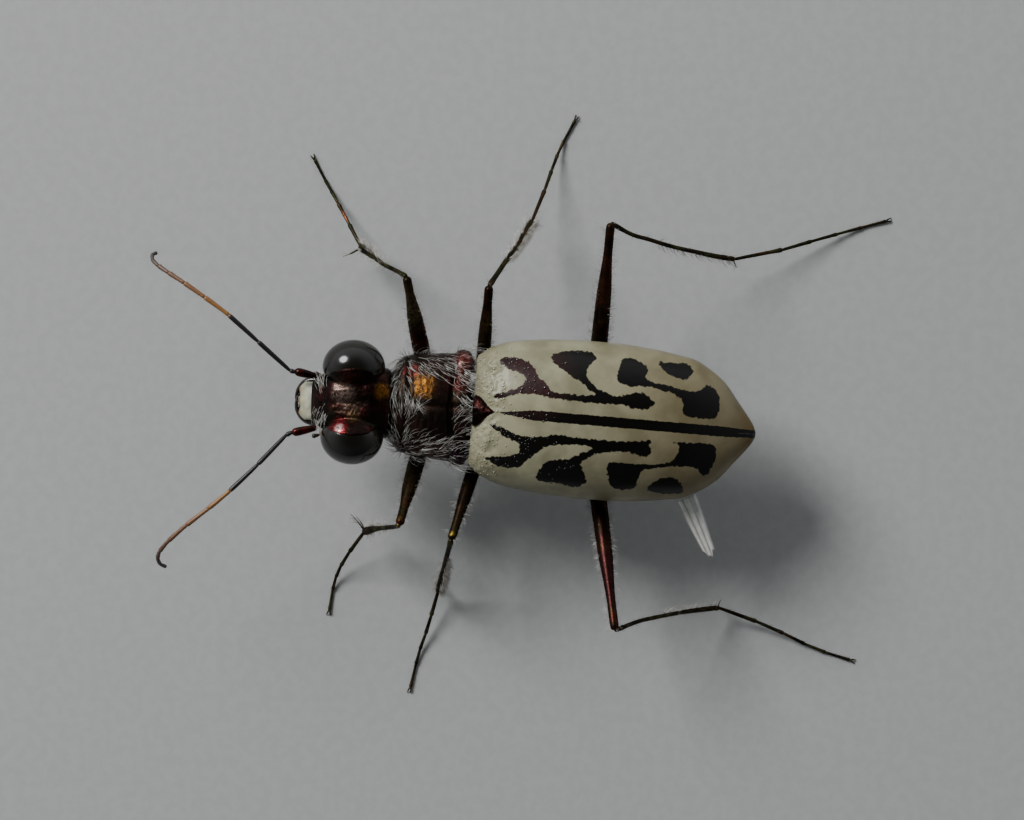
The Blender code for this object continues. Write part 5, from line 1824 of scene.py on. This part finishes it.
@dataclass
class HindBody:
    """The thorax and abdomen below the wing cases, the scutellum and the tip of a hind wing."""

    body: BodyFrame = HIND_FRAME
    cases: WingCases = field(default_factory=WingCases)
    belly: Profile = Profile(
        (
            (-0.10, 1.20, -1.20), (0.14, 1.40, -1.42), (0.80, 1.95, -1.84), (2.00, 2.32, -1.95),
            (3.50, 2.40, -1.95), (5.00, 2.36, -1.80), (7.00, 2.18, -1.45), (8.50, 1.62, -1.00),
            (9.30, 0.95, -0.65), (9.75, 0.45, -0.38)
        )
    )
    joints: tuple[float, ...] = (5.00, 5.75, 6.60, 7.40, 8.15, 8.80)
    joint_depth: float = 0.06
    columns: int = 120
    tuck: float = 0.24
    slants: Pair = (1.1, 2.6)
    seam: Groove = Groove(0.0, 0.05, 0.05)
    plate: Profile = Profile(
        (
            (-0.04, 0.58, 1.02, 0.45), (0.10, 0.54, 1.08, 0.50), (0.36, 0.34, 1.17, 0.60),
            (0.60, 0.12, 1.24, 0.90), (0.70, 0.03, 1.24, 1.10)
        )
    )
    wing_root: Point = (2.56, 8.16, -0.46)
    wing_point: Point = (4.74, 9.36, -0.98)
    wing_rows: int = 60
    wing_columns: int = 65
    wing_width: float = 0.80
    wing_taper: float = 0.46
    wing_pleats: int = 3
    pleat_height: float = 0.030
    film_thickness: float = 0.02
    vein_width: float = 0.036
    vein_height: float = 0.012
    wing_veins: tuple[float, ...] = (-0.47, -0.10, 0.22, 0.47)

    def core(self, start: float, end: float, rows: int) -> Skin:
        """One length of the body: the dome under the wing cases above, the belly below.

        Args:
            start: Where it begins along Y.
            end: Where it ends.
            rows: How many rings.

        Returns:
            The skin with the marks of its hairs.
        """
        along = np.linspace(start, end, rows)[:, None]
        width, crest, margin = (self.cases.profile.read(c, along) for c in (1, 2, 3))
        flank, belly = self.belly.read(1, along), self.belly.read(2, along)
        angle = 2 * math.pi * (np.arange(self.columns) + 0.5)[None] / self.columns
        cosine, sine = np.cos(angle), np.sin(angle)
        level = margin - 0.06
        power = 2 / self.cases.fullness
        upper_x = (width - self.tuck) * signed_power(cosine, power)
        upper_z = level + (crest - self.tuck - level) * np.abs(sine) ** power
        lower_x = flank * signed_power(cosine, 0.9)
        lower_z = level - (level - belly) * np.abs(sine) ** 0.9
        x = np.where(sine > 0, upper_x, lower_x)
        z = np.where(sine > 0, upper_z, lower_z)
        grid = stacked(x, along, z)
        near = np.min([np.abs(along - joint) for joint in self.joints], axis=0)
        below = (sine < 0).astype(float)
        height = -self.joint_depth * hill(near, 0.05) * below
        seams = ease(4.9, 4.6, along) * below
        for slant in self.slants:
            line = np.abs(x) - (0.9 + 0.35 * (along - slant))
            height -= self.seam.at(line) * seams * (np.abs(along - slant) < 0.75)
        height += 0.008 * grain(grid, 0.12, 5)
        skin = Skin.around(raised(grid, height))
        x, y, z = skin.points.T
        side = ease(0.45, 0.8, np.abs(x) / 2.3) * ease(-0.15, -0.5, z)
        skin.marks["grow"] = side * np.where(y < 5, 1.0, 0.55)
        skin.marks["long"] = np.where(y < 5, 1.0, 0.7)
        skin.marks["hook"] = 0 * x
        skin.marks["lie"] = stacked(0 * x, 1.0, -0.35)
        return skin.placed(self.body)

    def scutellum(self) -> Skin:
        """The small red triangle between the roots of the wing cases."""
        grid = barrel(self.plate, 50, 60, 0.8, (0.06, 0.03), fullness=2.0)
        return Skin.around(raised(grid, 0.02 * grain(grid, 0.12, 7))).placed(self.body)

    def wing_tip(self) -> Skin:
        """The pleated tip of the folded hind wing, torn a little at its end.

        Returns:
            The skin, with the "vein" mark.
        """
        root, point = np.array(self.wing_root), np.array(self.wing_point)
        along = (point - root) / np.linalg.norm(point - root)
        across = np.cross(along, (0.0, 0.0, 1.0))
        across /= np.linalg.norm(across)
        up = np.cross(across, along)
        share = np.linspace(0, 1, self.wing_rows)[:, None]
        spot = np.linspace(-0.5, 0.5, self.wing_columns)[None]
        ragged = 1 - 0.06 * np.abs(np.sin(9 * spot + 1.1)) - 0.10 * ease(0.0, 0.5, np.abs(spot))
        reach = share * ragged
        width = self.wing_width * (1 - self.wing_taper * share**1.2)
        pleat = self.pleat_height * np.cos(2 * math.pi * self.wing_pleats * spot) * (1 - 0.4 * share)
        lift = pleat - 0.10 * (2 * spot) ** 2 * (1 - share)
        length = np.linalg.norm(point - root)
        centre = root + along * length * reach[..., None]
        grid = centre + across * (width * spot)[..., None] + up * lift[..., None]
        vein = 0 * share + np.max(
            [hill(spot - place, self.vein_width) for place in self.wing_veins], axis=0
        )
        low = grid - up * (self.film_thickness + self.vein_height * vein)[..., None]
        return Skin.shell(grid, low, vein=vein).placed(self.body)

    def build(self) -> None:
        """Build and dress the hind body and its hairs."""
        thorax, abdomen = self.core(-0.06, 5.00, 90), self.core(4.98, 9.72, 100)
        for skin, name, node in ((thorax, "hind_thorax", "thorax"), (abdomen, "belly_rings", "abdomen")):
            dress(replace(skin, marks={}), name, BRONZE_BODY, Slot.BRONZE, node)
        dress(self.scutellum(), "scutellum_plate", RED_PLATE, Slot.COPPER, "scutellum")
        dress(self.wing_tip(), "hind_wing_tip", WING_MEMBRANE, Slot.WING, "wing_tip_left")
        coat = HairCoat(
            "coat_flanks", WHITE_HAIR, Slot.HAIR, density=34, length=0.48, thickness=0.012, lift=8,
            spread=16, seed=41
        )
        coat.plant(thorax.joined(abdomen))


@dataclass
class Leg:
    """One leg, given by the lines through its shin and its foot.

    The foot's line gives the ends of its joints and, last, the tips of the claws. "spur" is how far
    the spurs reach, "flare" how much wider the shin is at its end, "brush" how dense its hairs are.
    """

    label: str
    cell: int
    root: Point
    hip: Point
    shin_line: Path
    foot_line: Path
    thigh_radius: float
    shin_radius: float = 0.082
    flare: float = 1.2
    spur: Point | None = None
    brush: float = 0.15
    coxa_radius: float = 0.50
    trochanter_length: float = 0.58
    neck_radii: Pairs = ((0.0, 0.20), (0.5, 0.25), (0.85, 0.24), (1.0, 0.18))
    knee_radius: float = 0.145
    spur_radii: Pairs = ((0.0, 0.028), (0.5, 0.020), (1.0, 0.006))
    spur_reach: Pair = (0.40, 0.30)
    spur_spread: float = 0.10
    foot_radius: float = 0.070
    joint_widths: tuple[float, ...] = (1.15, 1.08, 1.0, 0.95, 0.86)
    foot_overlap: float = 0.09
    claw_reach: float = 0.22
    claw_level: float = 0.02
    claw_radii: Pairs = ((0.0, 0.034), (0.5, 0.027), (1.0, 0.008))
    thigh_bow: float = 0.02

    def window(self, part: int) -> Window:
        """The cell of the unwrap's square for the coxa (0), thigh (1), shin (2) or foot (3)."""
        column, row = self.cell, part
        return (column / 6 + 0.005, row / 4 + 0.005, (column + 1) / 6 - 0.005, (row + 1) / 4 - 0.005)

    @property
    def thigh_start(self) -> Array:
        """Where the thigh begins, beyond the trochanter."""
        out = np.array(self.shin_line[0]) - np.array(self.hip)
        return np.array(self.hip) + out / np.linalg.norm(out) * self.trochanter_length

    def coxa(self) -> Skin:
        """The round root joint and the trochanter beyond it.

        Returns:
            The skin of both.
        """
        root, hip = np.array(self.root), np.array(self.hip)
        radius = self.coxa_radius
        radii = ((0.0, radius * 0.9), (0.4, radius), (0.8, radius * 0.85), (1.0, radius * 0.6))
        cone = Limb((root, hip + (hip - root) * 0.12), radii, columns=30).skin(self.window(0))
        start = self.thigh_start + (self.thigh_start - hip) * 0.25
        joint = Limb((hip, start), self.neck_radii, columns=24).skin(self.window(0))
        return cone.joined(joint)

    def thigh(self) -> Skin:
        """The thigh, stoutest in its first third, with the rounded knee at its end.

        Returns:
            The skin.
        """
        stout, slim = self.thigh_radius, self.knee_radius
        radii = (
            (0.0, stout * 0.72), (0.07, stout * 0.92), (0.25, stout), (0.55, stout * 0.80 + slim * 0.2),
            (0.85, slim * 1.12), (0.96, slim * 1.12), (1.0, slim)
        )
        start, end = self.thigh_start, np.array(self.shin_line[0])
        lift = np.array([0.0, 0.0, np.linalg.norm(end - start) * self.thigh_bow])
        middles = [start + (end - start) * share + lift for share in (0.35, 0.65)]
        return Limb((start, *middles, end), radii, rows=52, columns=28).skin(self.window(1))

    def shin(self) -> Skin:
        """The slender shin, wider at its end, with two thin spurs.

        Returns:
            The skin of the shin and its spurs.
        """
        slim = self.shin_radius
        radii = (
            (0.0, slim * 0.85), (0.05, slim * 1.12), (0.15, slim * 0.94), (0.55, slim * 0.96),
            (0.80, slim * (0.3 + 0.7 * self.flare)), (0.94, slim * self.flare),
            (1.0, slim * self.flare * 0.92)
        )
        skin = Limb(self.shin_line, radii, rows=60, columns=22).skin(self.window(2))
        before, ankle = np.array(self.shin_line[-2:])
        along = (ankle - before) / np.linalg.norm(ankle - before)
        onward = np.array(self.foot_line[0]) - ankle
        across = np.cross(along, onward)
        across /= np.linalg.norm(across)
        away = np.cross(along, across)
        away *= -np.sign(away.dot(onward))
        onto, off = self.spur_reach
        reach = np.array(self.spur) if self.spur else onto * along + off * away
        for turn in (-1, 1):
            lean = across * turn * 0.5 + reach / np.linalg.norm(reach)
            root = ankle - along * 0.08 + lean * slim * 0.6
            tip = root + reach + across * turn * self.spur_spread
            middle = (root + tip) / 2 + away * 0.03
            spur = Limb((root, middle, tip), self.spur_radii, rows=12, columns=8)
            skin = skin.joined(spur.skin(self.window(2)))
        return skin

    def foot(self) -> Skin:
        """The foot: five joints, each wider at its end, and two curved claws.

        Returns:
            The skin of the foot and its claws.
        """
        stout = self.foot_radius
        ends = [np.array(point) for point in (self.shin_line[-1], *self.foot_line)]
        ahead = (ends[-1] - ends[-2]) / np.linalg.norm(ends[-1] - ends[-2])
        ends[-1] = ends[-1] - ahead * self.claw_reach
        skins = []
        for k, (start, end) in enumerate(zip(ends, ends[1:])):
            widest = stout * self.joint_widths[k]
            radii = (
                (0.0, stout * 0.72), (0.25, widest * 0.80), (0.80, widest * 0.92), (0.93, widest * 1.08),
                (1.0, widest * 0.96)
            )
            inner = start - (end - start) / math.dist(start, end) * self.foot_overlap
            joint = Limb((inner, end), radii, rows=24, columns=16)
            skins.append(joint.skin(self.window(3)))
        side = np.array([-ahead[1], ahead[0], 0.0])
        root = ends[-1] - ahead * 0.05
        for turn in (-1, 1):
            middle = root + ahead * 0.12 + side * turn * 0.040 + np.array([0, 0, 0.03])
            tip = root + ahead * (self.claw_reach + 0.04) + side * turn * 0.075
            tip[2] = self.claw_level
            claw = Limb((root, middle, tip), self.claw_radii, rows=14, columns=8)
            skins.append(claw.skin(self.window(3)))
        return Skin.joined(*skins)

    def haired(
        self, skin: Skin, edge: float = 9.0, start: float = 0.0, share: float = 1.0, long: float = 1.0,
        front: float = 1.0
    ) -> Skin:
        """A part of the leg with the marks of its hairs, which keep off its lower side.

        Args:
            skin: The part's skin.
            edge: How narrow the rows along its front and back are: small for narrow, large for none.
            start: The share of the part below which no hairs grow.
            share: How many hairs there are, against the coat's own density.
            long: How long they are, against the coat's own length.
            front: How many grow on the front side, against the rear side.

        Returns:
            The same skin with the marks added.
        """
        turn = skin.marks["turn"]
        rear = np.cos(turn) * (1 if self.hip[0] < 0 else -1)
        share = share * (front + (1 - front) * ease(-0.2, 0.4, rear))
        grow = share * hill(np.abs(np.cos(turn)) - 1, edge) * (np.sin(turn) > -0.1)
        grow = grow * ease(start - 0.05, start + 0.05, skin.marks["reach"])
        ones = np.ones(len(skin.points))
        return replace(skin, marks={**skin.marks, "grow": grow, "long": ones * long, "hook": ones * 0})

    def build(self) -> dict[str, Skin]:
        """Build and dress the leg.

        Returns:
            The skins that carry its upright hairs, the brush of its shin and its dark bristles.
        """
        name = f"leg_{self.label}"
        coxa, thigh, shin, foot = self.coxa(), self.thigh(), self.shin(), self.foot()
        for skin, part, finish, slot in (
            (coxa, "coxa", BRONZE_BODY, Slot.BRONZE), (thigh, "femur", THIGH_CHITIN, Slot.THIGH),
            (shin, "tibia", SHIN_CHITIN, Slot.SHIN), (foot, "tarsus", SHIN_CHITIN, Slot.SHIN)
        ):
            dress(replace(skin, marks={}), f"{name}_{part}_skin", finish, slot, f"{name}_{part}")
        upright = self.haired(coxa, share=0.8, long=0.9).joined(self.haired(thigh, edge=0.14, start=0.04))
        bristles = self.haired(shin, start=0.05, share=0.4).joined(self.haired(foot, share=0.8, long=0.7))
        brush = self.haired(shin, edge=0.35, start=0.38, share=self.brush, front=0.2)
        return {"upright_legs": upright, "brush_legs": brush, "bristles_legs": bristles}


LEGS = (
    Leg(
        "front_right", 0, (-0.48, -3.44, 3.30), (-0.80, -3.62, 2.60),
        (
            (-4.70, -4.39, 4.70), (-4.94, -4.80, 3.91), (-5.13, -5.17, 3.23), (-5.32, -5.45, 2.67),
            (-5.56, -5.73, 2.08), (-5.90, -6.16, 1.20)
        ),
        (
            (-6.76, -6.61, 0.72), (-7.54, -7.03, 0.36), (-8.04, -7.31, 0.17), (-8.45, -7.54, 0.07),
            (-9.41, -8.03, 0.07)
        ),
        0.32, shin_radius=0.088, flare=1.85, spur=(0.30, -0.56, -0.10), brush=0.35
    ),
    Leg(
        "front_left", 1, (0.66, -3.52, 3.30), (0.96, -3.72, 2.50),
        (
            (4.44, -4.64, 5.30), (4.52, -4.81, 4.66), (4.58, -5.24, 3.56), (4.66, -5.68, 2.45),
            (4.76, -6.01, 1.60)
        ),
        (
            (5.55, -6.60, 0.87), (6.08, -6.93, 0.48), (6.51, -7.12, 0.24), (6.98, -7.25, 0.07),
            (7.97, -7.41, 0.07)
        ),
        0.31, shin_radius=0.088, flare=1.75, spur=(-0.56, -0.41, -0.10), brush=0.35
    ),
    Leg(
        "middle_right", 2, (-0.32, -1.14, 3.46), (-0.66, -1.66, 2.62),
        (
            (-4.33, -1.34, 5.60), (-4.79, -1.04, 4.91), (-5.26, -0.74, 4.21), (-5.68, -0.44, 3.57),
            (-6.15, -0.14, 2.87), (-6.84, 0.25, 1.90)
        ),
        (
            (-8.03, 0.73, 1.02), (-8.78, 0.99, 0.56), (-9.40, 1.22, 0.25), (-9.92, 1.46, 0.07),
            (-10.88, 1.98, 0.07)
        ),
        0.26, shin_radius=0.10, flare=1.15, brush=1.0
    ),
    Leg(
        "middle_left", 3, (0.90, -1.22, 3.46), (1.16, -1.52, 2.62),
        (
            (5.00, -2.74, 5.00), (5.70, -2.93, 3.39), (6.13, -3.04, 2.52), (6.79, -3.22, 1.22),
            (7.01, -3.27, 0.80)
        ),
        (
            (7.96, -3.54, 0.49), (8.64, -3.75, 0.30), (9.22, -3.96, 0.16), (9.80, -4.12, 0.07),
            (10.88, -4.38, 0.07)
        ),
        0.26, shin_radius=0.10, flare=1.15, brush=1.0
    ),
    Leg(
        "hind_right", 4, (0.02, 2.38, 2.96), (-0.34, 2.56, 2.12),
        (
            (-6.63, 3.12, 5.90), (-6.24, 3.89, 5.10), (-6.07, 4.54, 4.49), (-5.84, 5.38, 3.70),
            (-5.67, 6.23, 2.93), (-5.52, 7.03, 2.21), (-5.42, 7.82, 1.50)
        ),
        (
            (-5.79, 9.66, 0.83), (-6.12, 10.77, 0.48), (-6.40, 11.76, 0.23), (-6.65, 12.67, 0.07),
            (-6.95, 13.81, 0.07)
        ),
        0.31
    ),
    Leg(
        "hind_left", 5, (1.16, 2.30, 2.96), (1.50, 2.46, 2.12),
        (
            (8.32, 3.28, 5.30), (8.04, 4.10, 4.32), (7.92, 4.69, 3.65), (7.81, 5.40, 2.84),
            (7.72, 6.12, 2.05), (7.66, 6.84, 1.26), (7.64, 7.27, 0.80)
        ),
        (
            (8.17, 8.70, 0.48), (8.62, 9.72, 0.28), (9.02, 10.52, 0.15), (9.34, 11.31, 0.07),
            (9.69, 12.44, 0.07)
        ),
        0.31
    )
)


LEG_COATS = (
    HairCoat(
        "upright_legs", WHITE_HAIR, Slot.HAIR, density=210, length=0.26, thickness=0.007, lift=58,
        spread=12, seed=53
    ),
    HairCoat(
        "brush_legs", DUSKY_HAIR, Slot.HAIR, density=1300, length=0.38, thickness=0.010, lift=26, spread=12,
        seed=59
    ),
    HairCoat(
        "bristles_legs", DARK_BRISTLE, Slot.SHIN, density=90, length=0.16, thickness=0.007, lift=28,
        spread=18, seed=67
    )
)
FEELER_COAT = HairCoat(
    "fuzz_feelers", DARK_BRISTLE, Slot.FEELER, density=120, length=0.12, thickness=0.006, lift=20,
    spread=16, seed=71
)


@dataclass
class Studio:
    """The pale floor, the soft light, the dim sky and the camera that looks straight down.

    The sky is brightest near the horizon on the beetle's right. Its slope dims it towards the left.
    """

    camera_height: float = 220.0
    camera_place: Pair = (0.22, -0.50)
    pixels_focal: float = 5845.5
    pixels_wide: float = 1024.0
    sensor: float = 36.0
    floor_size: float = 1500.0
    key_way: Point = (-0.53, -0.55, 0.65)
    distance: float = 250.0
    key_size: float = 110.0
    key_watts: float = 0.57
    sky: tuple[tuple[float, str], ...] = (
        (0.0, "#c4c7c9"), (0.50, "#aeb1b3"), (0.85, "#55585a"), (1.0, "#2e3032")
    )
    sky_slope: Point = (-0.45, -0.15, 0.0)
    sky_level: float = 0.55
    sky_strength: float = 1.75

    def place(self, name: str, data: Any) -> bpy.types.Object:
        """Put an object in the scene.

        Args:
            name: The object's name.
            data: The mesh, lamp or camera that it holds.

        Returns:
            The object.
        """
        made = bpy.data.objects.new(name, data)
        bpy.context.scene.collection.objects.link(made)
        return made

    def lay_floor(self) -> None:
        """Lay the card that the beetle stands on."""
        side = np.array([-1.0, 1.0]) * self.floor_size / 2
        corners = stacked(side[None, :], side[:, None], 0.0)
        floor = self.place("studio_floor", Skin.sheet(corners).mesh("studio_floor", MM))
        floor.data.materials.append(PALE_CARD.material())

    def hang_light(self) -> None:
        """Hang the round soft light that shines at the beetle."""
        lamp = bpy.data.lights.new("key light", "AREA")
        lamp.energy = self.key_watts
        lamp.shape = "DISK"
        lamp.size = self.key_size * MM
        holder = self.place("key light", lamp)
        holder.location = Vector(self.key_way).normalized() * self.distance * MM
        holder.rotation_euler = Vector(self.key_way).to_track_quat("Z", "Y").to_euler()

    def paint_sky(self) -> None:
        """Paint the sky, whose tone depends on the height and whose strength on the side."""
        world = bpy.data.worlds.new("studio sky")
        world.use_nodes = True
        tree = world.node_tree
        way = (add_node(tree, "TexCoord"), "Generated")
        height = add_node(tree, "SeparateXYZ", Vector=way)
        tone = add_node(tree, "ValToRGB", Fac=(height, "Z"), stops=self.sky)
        side = add_node(tree, "VectorMath", way, self.sky_slope, operation="DOT_PRODUCT")
        level = add_node(tree, "Math", (side, "Value"), self.sky_level, operation="ADD", use_clamp=True)
        strength = add_node(tree, "Math", level, self.sky_strength, operation="MULTIPLY")
        feed(tree, tree.nodes["Background"], {"Color": tone, "Strength": strength})
        bpy.context.scene.world = world

    def set_camera(self) -> None:
        """Set the camera up, with the head on the left of the picture."""
        lens = bpy.data.cameras.new("studio camera")
        lens.sensor_width = self.sensor
        lens.lens = self.pixels_focal * self.sensor / self.pixels_wide
        lens.clip_start = 10 * MM
        camera = self.place("studio camera", lens)
        camera.location = [value * MM for value in (*self.camera_place, self.camera_height)]
        camera.rotation_euler = (0.0, 0.0, math.pi / 2)
        bpy.context.scene.camera = camera

    def build(self) -> None:
        """Build the floor, the light, the sky and the camera."""
        self.lay_floor()
        self.hang_light()
        self.paint_sky()
        self.set_camera()


def main() -> None:
    """Build the beetle, then its studio."""
    logging.basicConfig(level=logging.INFO, format="%(message)s")
    Head().build()
    for feeler in FEELERS:
        feeler.build()
    Prothorax().build()
    WingCases().build()
    HindBody().build()
    skins = [leg.build() for leg in LEGS]
    for coat in LEG_COATS:
        coat.plant(Skin.joined(*(kinds[coat.name] for kinds in skins)))
    FEELER_COAT.plant(Skin.joined(*(feeler.coat_skin() for feeler in FEELERS)))
    Studio().build()


if __name__ == "__main__":
    main()
